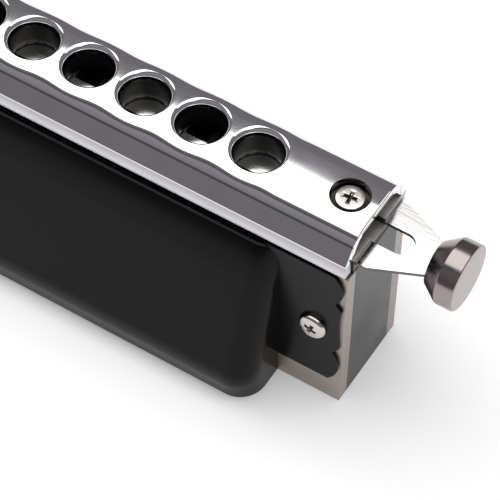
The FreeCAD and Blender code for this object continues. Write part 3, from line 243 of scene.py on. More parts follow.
# Small screws and the return spring. Nickel-plated steel screws and bent music wire, both
# brighter where handling and driving have rubbed their edges.
fastener_steel, tree, shader = new_finish("fastener_steel", Metallic=1.0)
edges = add_effect(tree, soft_edges, Radius=0.08 * mm)
wear = add_effect(tree, grain, Fine_Scale=2500.0, Broad_Scale=500.0)
give_colour(tree, shader, edges.outputs["Edge"], (0.62, 0.60, 0.59), (0.76, 0.75, 0.74))
give_roughness(tree, shader, wear.outputs["Patches"], 0.16, 0.34)
give_bump(tree, shader, wear.outputs["Height"], 0.002 * mm, 0.5, edges.outputs["Normal"])
finish_nodes(
    fastener_steel,
    "lower_reed_plate_screws",
    "upper_reed_plate_screws",
    "slide_spring",
)


# Gasket and bumper sleeves. Black sheet rubber between comb and back plate, and rubber tube
# round the mouthpiece screws, matt and dusty in the grain.
rubber, tree, shader = new_finish("rubber", IOR=1.5)
dust = add_effect(tree, grain, Fine_Scale=3500.0, Broad_Scale=250.0)
give_colour(tree, shader, dust.outputs["Patches"], (0.010, 0.010, 0.010), (0.022, 0.021, 0.021))
give_roughness(tree, shader, dust.outputs["Height"], 0.6, 0.85)
give_bump(tree, shader, dust.outputs["Height"], 0.01 * mm, 0.8)
finish_nodes(rubber, "slide_gasket", "screw_bumpers")


# Back plate and front plate. Rolled steel with bright nickel plating, between which the
# slide runs; the front one's notched end shows under the mouthpiece.
def add_math(tree, operation, first, second=None, third=None):
    """A value worked out from up to three others, each a number or a node's socket."""
    node = add_node(tree, "ShaderNodeMath", {"operation": operation})
    for place, value in enumerate((first, second, third)):
        if isinstance(value, (int, float)):
            node.inputs[place].default_value = value
        elif value is not None:
            tree.links.new(value, node.inputs[place])
    return node.outputs[0]


# Blanked walls: the upright cut sides of a flat part, painted darker than its rolled faces as painted
# shade.
blanked, _, blank_out = new_group("PaintedWallShade", [], [("Walls", "NodeSocketFloat")])
facing = add_node(blanked, "ShaderNodeNewGeometry")
facing_axes = add_node(blanked, "ShaderNodeSeparateXYZ")
blanked.links.new(facing.outputs["True Normal"], facing_axes.inputs["Vector"])
upright = add_math(blanked, "COMPARE", facing_axes.outputs["Z"], 0.0, 0.5)
blanked.links.new(upright, blank_out.inputs["Walls"])


def darken(tree, share, colour, dark):
    """Colour that goes to a dark one by a 0 to 1 share."""
    node = add_node(tree, "ShaderNodeMix", {"data_type": "RGBA"})
    tree.links.new(share, node.inputs[0])
    tree.links.new(colour, node.inputs[6])
    node.inputs[7].default_value = (*dark, 1.0)
    return node.outputs[2]


channel_metal, tree, shader = new_finish("channel_metal", Metallic=1.0)
edges = add_effect(tree, soft_edges, Radius=0.08 * mm)
lines = add_effect(tree, brushing, Stretch=(400.0, 5000.0, 5000.0))
wear = add_effect(tree, grain, Fine_Scale=1200.0, Broad_Scale=180.0)
walls = add_effect(tree, blanked)
rolled = blend_colours(tree, wear.outputs["Patches"], (0.74, 0.70, 0.66), (0.86, 0.82, 0.78))
# the upright cut walls are painted near black: painted shade
walls_painted_dark = darken(tree, walls.outputs["Walls"], rolled, (0.05, 0.047, 0.045))
tree.links.new(walls_painted_dark, shader.inputs["Base Color"])
give_roughness(tree, shader, lines.outputs["Streaks"], 0.34, 0.48)
give_bump(tree, shader, lines.outputs["Height"], 0.002 * mm, 0.5, edges.outputs["Normal"])
finish_nodes(channel_metal, "back_plate", "front_plate")


# Slide. A strip of spring steel, blanked with two rows of windows and a round-ended slot at
# each end, brushed along its length, ground thinner from below at its outer end and tapered to
# the tang that the button is pressed on.
half_length = 69.6
travel = 8.2
hole_pitch = 9.2
last_hole = 50.6
hole_count = 12
holes = [last_hole - number * hole_pitch for number in range(hole_count)]
screw_place = half_length - 4.6
slide_low = 30.29
slide_high = 31.19


def pick(piece):
    """Make one object the only one that is selected, and active."""
    bpy.ops.object.select_all(action="DESELECT")
    piece.select_set(True)
    bpy.context.view_layer.objects.active = piece


def added(name):
    """The object that an operator has just added, under its own name."""
    piece = bpy.context.active_object
    piece.name = name
    piece.data.name = name
    pick(piece)
    return piece


def settle(piece):
    """Turn and scale go into the mesh, and the object sits at the origin."""
    pick(piece)
    bpy.ops.object.transform_apply(location=True, rotation=True, scale=True)


def add_block(name, low, high):
    """A cube brought to its corners, in millimetres."""
    middle = [(a + b) / 2 * mm for a, b in zip(low, high)]
    bpy.ops.object.select_all(action="DESELECT")
    bpy.ops.mesh.primitive_cube_add(size=1.0, location=middle)
    piece = added(name)
    piece.scale = [(b - a) * mm for a, b in zip(low, high)]
    settle(piece)
    return piece


def add_rod(name, radius, start, length, axis="Z", sides=48):
    """A cylinder that starts at a point and runs along an axis, in millimetres."""
    turn = {"X": (0, math.pi / 2, 0), "Y": (-math.pi / 2, 0, 0), "Z": (0, 0, 0)}[axis]
    way = {"X": (1, 0, 0), "Y": (0, 1, 0), "Z": (0, 0, 1)}[axis]
    middle = [(a + b * length / 2) * mm for a, b in zip(start, way)]
    bpy.ops.object.select_all(action="DESELECT")
    bpy.ops.mesh.primitive_cylinder_add(
        vertices=sides, radius=radius * mm, depth=abs(length) * mm, location=middle, rotation=turn
    )
    piece = added(name)
    settle(piece)
    return piece


def combine(piece, tools, operation="DIFFERENCE"):
    """Cut from or join to a piece, as with a tool that is then put away."""
    for tool in tools:
        pick(piece)
        change = piece.modifiers.new("Shape", "BOOLEAN")
        change.operation = operation
        change.solver = "EXACT"
        change.object = tool
        bpy.ops.object.modifier_apply(modifier=change.name)
        bpy.data.objects.remove(tool)


def select_faces(piece, test):
    """In edit mode, select only the faces whose centre and normal pass a test."""
    shape = bmesh.from_edit_mesh(piece.data)
    bpy.ops.mesh.select_mode(type="FACE")
    for face in shape.faces:
        face.select_set(False)
    for face in shape.faces:
        if test(face.calc_center_median() / mm, face.normal):
            face.select_set(True)
    bmesh.update_edit_mesh(piece.data)


def select_edges(piece, test):
    """In edit mode, select only the edges whose two ends pass a test."""
    shape = bmesh.from_edit_mesh(piece.data)
    bpy.ops.mesh.select_mode(type="EDGE")
    for edge in shape.edges:
        edge.select_set(False)
    for edge in shape.edges:
        if test(edge.verts[0].co / mm, edge.verts[1].co / mm):
            edge.select_set(True)
    bmesh.update_edit_mesh(piece.data)


def near(first, second, slack=0.01):
    """Whether two sizes are the same, in millimetres."""
    return abs(first - second) < slack


def draw_out(across_x, across_y, across_z):
    """In edit mode, extrude the selected faces by a way in millimetres."""
    way = (across_x * mm, across_y * mm, across_z * mm)
    bpy.ops.mesh.extrude_region_move(TRANSFORM_OT_translate={"value": way})


def smooth(piece, angle=32):
    """Merge doubles, turn all faces outwards and shade the curved parts smooth."""
    pick(piece)
    bpy.ops.object.mode_set(mode="EDIT")
    bpy.ops.mesh.select_all(action="SELECT")
    bpy.ops.mesh.remove_doubles(threshold=0.0005 * mm)
    bpy.ops.mesh.normals_make_consistent(inside=False)
    bpy.ops.object.mode_set(mode="OBJECT")
    bpy.ops.object.shade_smooth_by_angle(angle=math.radians(angle))


def soften(piece, width, segments=2, angle=35):
    """Bevel the sharp edges and keep the flat faces flat."""
    pick(piece)
    change = piece.modifiers.new("Edges", "BEVEL")
    change.width = width * mm
    change.segments = segments
    change.limit_method = "ANGLE"
    change.angle_limit = math.radians(angle)
    bpy.ops.object.modifier_apply(modifier=change.name)
    smooth(piece, 40)


def flatten_shading(piece):
    """Let large faces lead the shading, so that flats stay flat beside round edges."""
    pick(piece)
    change = piece.modifiers.new("Shading", "WEIGHTED_NORMAL")
    change.keep_sharp = True
    change.weight = 80
    bpy.ops.object.modifier_apply(modifier=change.name)


def add_slot_tool(name, start, end, radius, low, high):
    """A tool for a slot along the length with round ends."""
    tool = add_block(name, (start, -radius, low), (end, radius, high))
    ends = [
        add_rod(name + "_end", radius, (place, 0, low), high - low, sides=64)
        for place in (start, end)
    ]
    combine(tool, ends, "UNION")
    return tool


slide_half = 6.1
neck_half = 2.85
slot_radius = 1.9
spring_hole_radius = 0.55
spring_hole_x, spring_hole_y = -57.2, 3.85
window_near, window_far = 0.45, 4.6
window_half = 4.4
end_window_half = 3.4
ground_from = 60.5
ground_depth = 0.38
tail = -half_length + travel + 0.9
taper = half_length + 1.6
button_place = half_length + 8.9
tang_end = button_place + 2.8
strip = add_block("slide_strip", (tail, -slide_half, slide_low), (taper, slide_half, slide_high))
bpy.ops.object.mode_set(mode="EDIT")
select_faces(strip, lambda place, normal: normal.x > 0.9)
draw_out(button_place - taper, 0, 0)
bpy.ops.transform.resize(value=(1, neck_half / slide_half, 1), center_override=(0, 0, 0))
draw_out(tang_end - button_place, 0, 0)
bpy.ops.object.mode_set(mode="OBJECT")
below, above = slide_low - 1, slide_high + 1
first_window = last_hole + travel
combine(strip, [
    add_slot_tool("treble_slot", screw_place, screw_place + travel, slot_radius, below, above),
    add_slot_tool("bass_slot", tail - 5, travel - screw_place, slot_radius, below, above),
    add_rod("spring_hole", spring_hole_radius, (spring_hole_x, spring_hole_y, below), above - below,
            sides=24),
    add_block("first_window", (first_window - end_window_half, window_near, below),
              (first_window + end_window_half, window_far, above)),
])
combine(strip, [add_block(
    "grinding", (ground_from, -10, below), (tang_end + 1, 10, slide_low + ground_depth)
)])
for number, place in enumerate(holes):
    row = -1 if number % 2 == 0 else 1
    left = place - (end_window_half if number == hole_count - 1 else window_half)
    sides = sorted((row * window_near, row * window_far))
    combine(strip, [
        add_block("window", (left, sides[0], below), (place + window_half, sides[1], above))
    ])
smooth(strip, 30)

slide_steel, tree, shader = new_finish("slide_steel", Metallic=1.0)
lines = add_effect(tree, brushing, Stretch=(220.0, 5200.0, 5200.0))
wear = add_effect(tree, grain, Fine_Scale=2600.0, Broad_Scale=260.0)
edges = add_effect(tree, soft_edges, Radius=0.13 * mm)
bright = blend_colours(tree, wear.outputs["Patches"], (0.80, 0.79, 0.77), (0.90, 0.89, 0.87))
walls = add_effect(tree, blanked)
# the upright cut walls and the sharp edges are painted dark: painted shade
painted_edge_shade = add_math(tree, "MAXIMUM", walls.outputs["Walls"], edges.outputs["Edge"])
tree.links.new(darken(tree, painted_edge_shade, bright, (0.13, 0.12, 0.11)), shader.inputs["Base Color"])
give_roughness(tree, shader, lines.outputs["Streaks"], 0.10, 0.18)
give_bump(tree, shader, lines.outputs["Height"], 0.004 * mm, 0.7)
strip.data.materials.append(slide_steel)
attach(strip, "slide_bar")
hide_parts("slide")


# Button. Turned from brass bar with a cone towards the slide, plated, and faced off with fine
# rings; it is pressed on the slide's tang.
slide_middle = (slide_low + slide_high) / 2
cone_length = 2.4
rim_length = 2.65
small_radius = 3.25
large_radius = 4.95
tang_play = 0.02
ring_width = 3.2
centre_width = 1.0
rim_bevel = 0.25
edge_bevel = 0.12
bpy.ops.object.select_all(action="DESELECT")
bpy.ops.mesh.primitive_cone_add(
    vertices=96,
    radius1=small_radius * mm,
    radius2=large_radius * mm,
    depth=cone_length * mm,
    location=((button_place + cone_length / 2) * mm, 0, slide_middle * mm),
    rotation=(0, math.pi / 2, 0),
)
button = added("turned_button")
settle(button)
button_end = button_place + cone_length + rim_length
bpy.ops.object.mode_set(mode="EDIT")
select_faces(button, lambda place, normal: normal.x > 0.9)
draw_out(rim_length, 0, 0)
bpy.ops.mesh.inset(thickness=ring_width * mm)
bpy.ops.mesh.inset(thickness=centre_width * mm)
select_edges(button, lambda a, b: near(a.x, button_end) and near(b.x, button_end)
             and Vector((a.y, a.z - slide_middle)).length > large_radius - 0.05)
bpy.ops.mesh.bevel(offset=rim_bevel * mm, segments=4)
select_edges(button, lambda a, b: near(a.x, b.x) and near(a.x, button_place + cone_length))
bpy.ops.mesh.bevel(offset=edge_bevel * mm, segments=3)
select_edges(button, lambda a, b: near(a.x, button_place) and near(b.x, button_place))
bpy.ops.mesh.bevel(offset=edge_bevel * mm, segments=2)
bpy.ops.object.mode_set(mode="OBJECT")
combine(button, [add_block(
    "tang_slot",
    (button_place - 1, -neck_half - tang_play, slide_low - tang_play),
    (tang_end + 0.3, neck_half + tang_play, slide_high + tang_play),
)])
smooth(button)
flatten_shading(button)

button_plating, tree, shader = new_finish("button_plating", Metallic=1.0)
ring_place = add_node(tree, "ShaderNodeTexCoord")
ring_map = add_node(tree, "ShaderNodeMapping")
ring_map.inputs["Location"].default_value = (0, 0, -slide_middle * mm)
ring_waves = add_node(
    tree,
    "ShaderNodeTexWave",
    {"wave_type": "RINGS", "rings_direction": "X", "wave_profile": "SIN"},
    Scale=1500.0,
    Distortion=1.2,
    Detail=3.0,
    Detail_Scale=2.0,
)
wear = add_effect(tree, grain, Fine_Scale=2200.0, Broad_Scale=220.0)
tree.links.new(ring_place.outputs["Object"], ring_map.inputs["Vector"])
tree.links.new(ring_map.outputs["Vector"], ring_waves.inputs["Vector"])
give_colour(tree, shader, wear.outputs["Patches"], (0.28, 0.245, 0.238), (0.35, 0.31, 0.30))
give_roughness(tree, shader, wear.outputs["Patches"], 0.14, 0.24)
give_bump(tree, shader, ring_waves.outputs["Fac"], 0.003 * mm, 0.5)
button.data.materials.append(button_plating)
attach(button, "slide_bar")
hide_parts("slide_button")


# Mouthpiece. Milled from brass bar with leaning sides and a low skirt over the slide's plates,
# hollow at both ends, its blow holes countersunk and rounded over on a buff, then chrome plated.
# It sits on the front plate.
crest = 36.0
mouthpiece_level = 31.83
skirt_level = 29.45
mouthpiece_end = half_length - 0.3
side_lean = math.radians(56)
crest_half = 3.4
shoulder = 3.6
roof = crest - 1.3
wall = 1.57
hollow_length = 10.5
post_radius = 2.6
cup_radius = 3.6
recess_radius = 2.9
recess_floor = crest - 1.35
screw_hole_radius = 1.1
skirt_bevel = 0.12
end_bevel = 0.22


def add_roofed_bar(name, start, end, low, low_half, high, high_half, round_reach, segments):
    """A bar along the length with leaning sides and rounded upper edges."""
    piece = add_block(name, (start, -low_half, low), (end, low_half, high))
    bpy.ops.object.mode_set(mode="EDIT")
    select_faces(piece, lambda place, normal: normal.z > 0.9)
    bpy.ops.transform.resize(value=(1, high_half / low_half, 1), center_override=(0, 0, 0))
    select_edges(piece, lambda a, b: near(a.z, high) and near(b.z, high) and near(a.y, b.y))
    bpy.ops.mesh.bevel(offset=round_reach * mm, segments=segments)
    bpy.ops.object.mode_set(mode="OBJECT")
    return piece


shoulder_reach = shoulder * math.tan(side_lean / 2)
corner_half = crest_half + shoulder_reach
outside = corner_half + (crest - mouthpiece_level) / math.tan(side_lean)
shell = add_roofed_bar(
    "mouthpiece_shell", -mouthpiece_end, mouthpiece_end, low=mouthpiece_level, low_half=outside,
    high=crest, high_half=corner_half, round_reach=shoulder_reach, segments=28,
)
bpy.ops.object.mode_set(mode="EDIT")
select_faces(shell, lambda place, normal: normal.z < -0.9)
draw_out(0, 0, skirt_level - mouthpiece_level)
select_edges(shell, lambda a, b: near(a.z, mouthpiece_level) and near(b.z, mouthpiece_level)
             and near(a.x, b.x))
bpy.ops.mesh.dissolve_edges()
select_edges(shell, lambda a, b: near(a.z, mouthpiece_level) and near(b.z, mouthpiece_level)
             and near(a.y, b.y))
bpy.ops.mesh.bevel(offset=skirt_bevel * mm, segments=3)
select_edges(shell, lambda a, b: near(abs(a.x), mouthpiece_end) and near(a.x, b.x)
             and not (near(a.z, b.z) and a.z < skirt_level + 0.1))
bpy.ops.mesh.bevel(offset=end_bevel * mm, segments=4)
bpy.ops.object.mode_set(mode="OBJECT")
inside = outside - wall
channel_half = inside + 0.07
combine(shell, [add_block(
    "channel_tool",
    (-mouthpiece_end - 1, -channel_half, skirt_level - 1),
    (mouthpiece_end + 1, channel_half, mouthpiece_level),
)])
fall = roof - mouthpiece_level
overlap = 0.5
for side in (-1, 1):
    start, end = sorted((side * (mouthpiece_end - hollow_length), side * (mouthpiece_end + 1)))
    combine(shell, [add_roofed_bar(
        "hollow_tool", start, end, low=mouthpiece_level - overlap,
        low_half=inside + overlap / math.tan(side_lean), high=roof,
        high_half=inside - fall / math.tan(side_lean), round_reach=1.2, segments=12,
    )])
    place = side * screw_place
    combine(shell, [
        add_rod("post", post_radius, (place, 0, mouthpiece_level), roof + 0.1 - mouthpiece_level),
        add_rod("cup", cup_radius, (place, 0, recess_floor - 0.6), 1.5),
    ], "UNION")
    combine(shell, [
        add_rod("recess_tool", recess_radius, (place, 0, recess_floor), 2.35, sides=64),
        add_rod("screw_tool", screw_hole_radius, (place, 0, mouthpiece_level - 1), 6),
    ])

bore = 3.4
rim = 4.19
rim_turn = math.radians(68)
rim_round = (rim - bore) / (1 - math.cos(rim_turn))
rim_drop = rim_round * math.sin(rim_turn)
tool_foot = mouthpiece_level - 1
bpy.ops.object.select_all(action="DESELECT")
bpy.ops.mesh.primitive_circle_add(
    vertices=72, radius=bore * mm, fill_type="NGON", location=(0, 0, tool_foot * mm)
)
countersink = added("countersink")
settle(countersink)
bpy.ops.object.mode_set(mode="EDIT")
bpy.ops.mesh.select_all(action="SELECT")
draw_out(0, 0, crest - rim_drop - tool_foot)
steps = 8
radius = bore
height = -rim_drop
for step in range(1, steps + 1):
    angle = rim_turn * step / steps
    next_radius = bore + rim_round * (1 - math.cos(angle))
    next_height = -rim_drop + rim_round * math.sin(angle)
    draw_out(0, 0, next_height - height)
    ratio = next_radius / radius
    bpy.ops.transform.resize(value=(ratio, ratio, 1), center_override=(0, 0, 0))
    radius, height = next_radius, next_height
draw_out(0, 0, 1)
bpy.ops.mesh.select_all(action="SELECT")
bpy.ops.mesh.normals_make_consistent(inside=False)
bpy.ops.object.mode_set(mode="OBJECT")
for place in holes:
    tool = countersink.copy()
    tool.data = countersink.data.copy()
    bpy.context.collection.objects.link(tool)
    tool.data.transform(Matrix.Translation((place * mm, 0, 0)))
    combine(shell, [tool])
bpy.data.objects.remove(countersink)
smooth(shell, 30)


def on_a_rim(point):
    """Whether a point lies where a hole's round rim meets the crest or a shoulder."""
    from_holes = min(math.hypot(point.x - place, point.y) for place in holes)
    return point.z > crest - 0.4 and rim - 0.16 < from_holes < rim + 0.02


bpy.ops.object.mode_set(mode="EDIT")
select_edges(shell, lambda a, b: on_a_rim(a) and on_a_rim(b))
bpy.ops.mesh.mark_sharp()
bpy.ops.object.mode_set(mode="OBJECT")
flatten_shading(shell)


def soft_step(tree, source, start, end, low=0.0, high=1.0):
    """A ramp with soft ends, its start and end in millimetres."""
    return ramp(tree, source, start * mm, end * mm, low, high, "SMOOTHSTEP")


chrome, tree, shader = new_finish("chrome", Metallic=1.0)
lines = add_effect(tree, brushing, Stretch=(5200.0, 300.0, 300.0))
buffing = add_effect(tree, grain, Fine_Scale=1800.0, Broad_Scale=110.0)
chrome_place = add_node(tree, "ShaderNodeTexCoord")
chrome_axes = add_node(tree, "ShaderNodeSeparateXYZ")
tree.links.new(chrome_place.outputs["Object"], chrome_axes.inputs["Vector"])
along_x, up_z = chrome_axes.outputs["X"], chrome_axes.outputs["Z"]
across_y = add_math(tree, "ABSOLUTE", chrome_axes.outputs["Y"])
# the bores are rougher, as they come from the drill under the buffed rims, and painted near black:
# painted shade down the holes
depth = soft_step(tree, up_z, crest - 1.15, crest - 0.55, 1.0, 0.0)
in_bore = soft_step(tree, across_y, 4.15, 4.2, 1.0, 0.0)
drilled_and_shaded = add_math(tree, "MULTIPLY", depth, in_bore)
# a dark line painted where the rounded shoulder meets the leaning side: a painted reflection
seam_half = crest_half + shoulder * math.sin(side_lean)
off_seam = add_math(tree, "ABSOLUTE", add_math(tree, "SUBTRACT", across_y, seam_half * mm))
painted_line_mask = soft_step(tree, off_seam, 0.02, 0.16, 1.0, 0.0)
buffed = blend_colours(tree, buffing.outputs["Patches"], (0.80, 0.79, 0.81), (0.86, 0.85, 0.87))
with_painted_line = darken(tree, add_math(tree, "MULTIPLY", painted_line_mask, 0.75), buffed, (0.10, 0.10, 0.11))
bores_painted_dark = darken(tree, drilled_and_shaded, with_painted_line, (0.030, 0.029, 0.026))
# the skirt's colour is painted darker, most at its top: painted shade
skirt = soft_step(tree, up_z, mouthpiece_level - 0.12, mouthpiece_level - 0.02, 1.0, 0.0)
up_the_skirt = soft_step(tree, up_z, skirt_level, mouthpiece_level)
skirt_painted_shade = blend_colours(tree, up_the_skirt, (0.64, 0.63, 0.65), (0.42, 0.41, 0.43))
plated = add_node(tree, "ShaderNodeMix", {"data_type": "RGBA"})
tree.links.new(skirt, plated.inputs[0])
tree.links.new(bores_painted_dark, plated.inputs[6])
tree.links.new(skirt_painted_shade, plated.inputs[7])
tree.links.new(plated.outputs[2], shader.inputs["Base Color"])
gloss = spread(tree, buffing.outputs["Patches"], 0.02, 0.04)
# inside the open ends the metal is left as milled
lean_place = add_math(tree, "MULTIPLY_ADD", up_z, 1 / math.tan(side_lean), across_y)
inner_side = inside + mouthpiece_level / math.tan(side_lean)
within = soft_step(tree, lean_place, inner_side + 0.15, inner_side + 0.25, 1.0, 0.0)
below_roof = soft_step(tree, up_z, roof - 0.12, roof - 0.07, 1.0, 0.0)
dull = add_math(tree, "MULTIPLY", add_math(tree, "MULTIPLY", within, below_roof), 0.4)
gloss = add_math(tree, "ADD", gloss, dull)
tree.links.new(add_math(tree, "MULTIPLY_ADD", drilled_and_shaded, 0.10, gloss), shader.inputs["Roughness"])
# the buff leaves the shoulder a little fuller beside each hole
from_last_hole = add_math(tree, "SUBTRACT", along_x, last_hole * mm)
hole_turn = add_math(tree, "MULTIPLY", from_last_hole, 2 * math.pi / (hole_pitch * mm))
hole_wave = add_math(tree, "COSINE", hole_turn)
beside_holes = soft_step(tree, add_math(tree, "ABSOLUTE", along_x), 53, 57, 1.0, 0.0)
on_shoulder = soft_step(tree, across_y, 3.9, 6.3)
wave = add_math(tree, "MULTIPLY", add_math(tree, "MULTIPLY", hole_wave, beside_holes), on_shoulder)
uneven = add_node(tree, "ShaderNodeTexNoise", Scale=60.0, Detail=0.0)
tree.links.new(chrome_place.outputs["Object"], uneven.inputs["Vector"])
wave = add_math(tree, "MULTIPLY_ADD", uneven.outputs["Fac"], 0.2, wave)
wave_bump = add_node(tree, "ShaderNodeBump", Strength=1.0, Distance=0.065 * mm)
tree.links.new(wave, wave_bump.inputs["Height"])
give_bump(tree, shader, lines.outputs["Height"], 0.0008 * mm, 0.5, wave_bump.outputs["Normal"])
shell.data.materials.append(chrome)
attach(shell, "harmonica")
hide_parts("mouthpiece")


# Mouthpiece screws and cover screws. Steel machine screws with a pan head and a pressed cross
# recess, nickel plated; the first hold the mouthpiece to the comb, the others run right
# through the comb and clamp both covers.
screw_steel, tree, shader = new_finish("screw_steel", Metallic=1.0)
wear = add_effect(tree, grain, Fine_Scale=2500.0, Broad_Scale=600.0)
give_colour(tree, shader, wear.outputs["Patches"], (0.54, 0.50, 0.47), (0.66, 0.63, 0.59))
give_roughness(tree, shader, wear.outputs["Patches"], 0.12, 0.24)
give_bump(tree, shader, wear.outputs["Height"], 0.003 * mm, 0.5)

# the cross recess is painted near black as painted shade
recess_painted_shade, tree, shader = new_finish("recess_painted_shade", Metallic=0.6)
recess_shade_grain = add_effect(tree, grain, Fine_Scale=3000.0, Broad_Scale=900.0)
give_colour(tree, shader, recess_shade_grain.outputs["Patches"], (0.020, 0.014, 0.011), (0.060, 0.045, 0.036))
give_roughness(tree, shader, recess_shade_grain.outputs["Height"], 0.45, 0.65)
give_bump(tree, shader, recess_shade_grain.outputs["Height"], 0.01 * mm, 0.6)


shank_radius = 1.0
arm = 1.2
arm_half = 0.36


def add_screw(name, head_radius, rise, crown, dome, shank_length):
    """A screw at the origin, head up, its seat at z 0."""
    bpy.ops.object.select_all(action="DESELECT")
    bpy.ops.mesh.primitive_cylinder_add(
        vertices=64, radius=head_radius * mm, depth=rise * mm, location=(0, 0, rise / 2 * mm)
    )
    piece = added(name)
    settle(piece)
    bpy.ops.object.mode_set(mode="EDIT")
    select_faces(piece, lambda place, normal: normal.z > 0.9)
    for part in (0.35, 0.3, 0.2):
        bpy.ops.mesh.inset(thickness=head_radius * part * mm)
    select_edges(piece, lambda a, b: near(a.z, rise) and near(b.z, rise)
                 and a.xy.length > head_radius - 0.01 and b.xy.length > head_radius - 0.01)
    bpy.ops.mesh.bevel(offset=crown * mm, segments=6)
    shape = bmesh.from_edit_mesh(piece.data)
    for vertex in shape.verts:
        out = vertex.co.xy.length / (head_radius * mm)
        if vertex.co.z > 0.5 * rise * mm:
            vertex.co.z -= dome * rise * mm * out * out
    bmesh.update_edit_mesh(piece.data)
    select_faces(piece, lambda place, normal: normal.z < -0.9)
    bpy.ops.mesh.inset(thickness=(head_radius - shank_radius) * mm)
    draw_out(0, 0, -shank_length)
    bpy.ops.object.mode_set(mode="OBJECT")
    for turn in (0, math.pi / 2):
        cross = add_block("cross_tool", (-arm, -arm_half, rise - 0.6), (arm, arm_half, rise + 0.5))
        bpy.ops.object.mode_set(mode="EDIT")
        select_faces(cross, lambda place, normal: normal.z < -0.9)
        bpy.ops.transform.resize(value=(0.6, 0.5, 1), center_override=(0, 0, 0))
        bpy.ops.object.mode_set(mode="OBJECT")
        cross.data.transform(Matrix.Rotation(turn, 4, "Z"))
        combine(piece, [cross])
    soften(piece, 0.04, 2, 38)
    bpy.ops.object.mode_set(mode="EDIT")
    # the faces of the cross recess get the second, near-black finish: painted shade in the recess
    select_faces(piece, lambda place, normal: place.xy.length < arm + 0.05 and place.z > 0
                 and (place.z < rise - 0.5 or normal.z < 0.35))
    piece.data.materials.append(screw_steel)
    piece.data.materials.append(recess_painted_shade)
    piece.active_material_index = 1
    bpy.ops.object.material_slot_assign()
    bpy.ops.object.mode_set(mode="OBJECT")
    return piece


def copy_to(piece, name, matrix):
    """A copy with its own mesh, at a place that goes into the mesh."""
    twin = piece.copy()
    twin.data = piece.data.copy()
    twin.name = name
    twin.data.name = name
    bpy.context.collection.objects.link(twin)
    twin.data.transform(matrix)
    return twin


comb_height = 28.85
screw_grip = 6
short_screw = add_screw(
    "short_screw", head_radius=2.1, rise=0.95, crown=0.2, dome=0.02,
    shank_length=recess_floor - comb_height + screw_grip,
)
for name, side in (("bass_mouthpiece_screw", -1), ("treble_mouthpiece_screw", 1)):
    turn = Matrix.Rotation(math.radians(8 if side > 0 else 53), 4, "Z")
    place = Matrix.Translation((side * screw_place * mm, 0, recess_floor * mm))
    screw = copy_to(short_screw, name, place @ turn)
    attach(screw, "harmonica")
    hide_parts("mouthpiece_screws")
bpy.data.objects.remove(short_screw)

bolt_place = half_length - 4.55
bolt_height = 15.95
half_comb = 5.65
reed_plate_gauge = 2.1
sheet_gauge = 0.5
cover_face = half_comb + reed_plate_gauge + sheet_gauge
nut_height = 1.6
long_screw = add_screw(
    "long_screw", head_radius=2.2, rise=1.05, crown=0.5, dome=0.22,
    shank_length=2 * cover_face + nut_height,
)
for name, side in (("bass_cover_screw", -1), ("treble_cover_screw", 1)):
    turn = Matrix.Rotation(math.pi / 2, 4, "X") @ Matrix.Rotation(math.radians(-20 * side), 4, "Z")
    place = Matrix.Translation((side * bolt_place * mm, -cover_face * mm, bolt_height * mm))
    screw = copy_to(long_screw, name, place @ turn)
    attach(screw, "harmonica")
    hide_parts("cover_screws")
bpy.data.objects.remove(long_screw)


# Cover nuts. Small hexagon nuts with turned corners on the ends of the cover screws.
nut_flats = 4.0
tapped_radius = 1.04
bpy.ops.object.select_all(action="DESELECT")
bpy.ops.mesh.primitive_cylinder_add(
    vertices=6, radius=nut_flats / math.sqrt(3) * mm, depth=nut_height * mm,
    location=(0, 0, nut_height / 2 * mm), rotation=(0, 0, math.pi / 6)
)
nut = added("nut")
settle(nut)
bpy.ops.object.select_all(action="DESELECT")
bpy.ops.mesh.primitive_cone_add(
    vertices=64, radius1=4.2 * mm, radius2=0.6 * mm, depth=3.6 * mm, location=(0, 0, 1.0 * mm)
)
turning = added("turning")
settle(turning)
combine(nut, [turning], "INTERSECT")
combine(nut, [add_rod("tapping", tapped_radius, (0, 0, -1), 4, sides=32)])
soften(nut, 0.05, 2, 38)
nut.data.materials.append(fastener_steel)
for name, side in (("bass_nut", -1), ("treble_nut", 1)):
    turn = Matrix.Rotation(-math.pi / 2, 4, "X")
    place = Matrix.Translation((side * bolt_place * mm, cover_face * mm, bolt_height * mm))
    piece = copy_to(nut, name, place @ turn)
    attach(piece, "harmonica")
    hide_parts("cover_nuts")
bpy.data.objects.remove(nut)


# Covers. Sheet steel drawn into a long bulge that is open at the back, with a flat flange at
# each end whose tip is cut to a bracket curve, stoved with satin black paint.
cover_front = 28.8
cover_lip = 0.45
bulge_from_end = 10.15
brow_radius = 22.0
bend_radius = 6.0
end_radius = 4.0
fold_radius = 0.9
fold_turn = math.radians(60)
past_back = 5.0


def add_cut_sheet(name, points, way):
    """A circle's corners put at an outline's points, in millimetres, and drawn out."""
    bpy.ops.object.select_all(action="DESELECT")
    bpy.ops.mesh.primitive_circle_add(vertices=len(points), radius=10 * mm, fill_type="NGON")
    piece = added(name)
    bpy.ops.object.mode_set(mode="EDIT")
    shape = bmesh.from_edit_mesh(piece.data)
    for vertex, point in zip(shape.verts, points):
        vertex.co = [size * mm for size in point]
    bmesh.update_edit_mesh(piece.data)
    bpy.ops.mesh.select_all(action="SELECT")
    draw_out(*way)
    bpy.ops.mesh.select_all(action="SELECT")
    bpy.ops.mesh.normals_make_consistent(inside=False)
    return piece


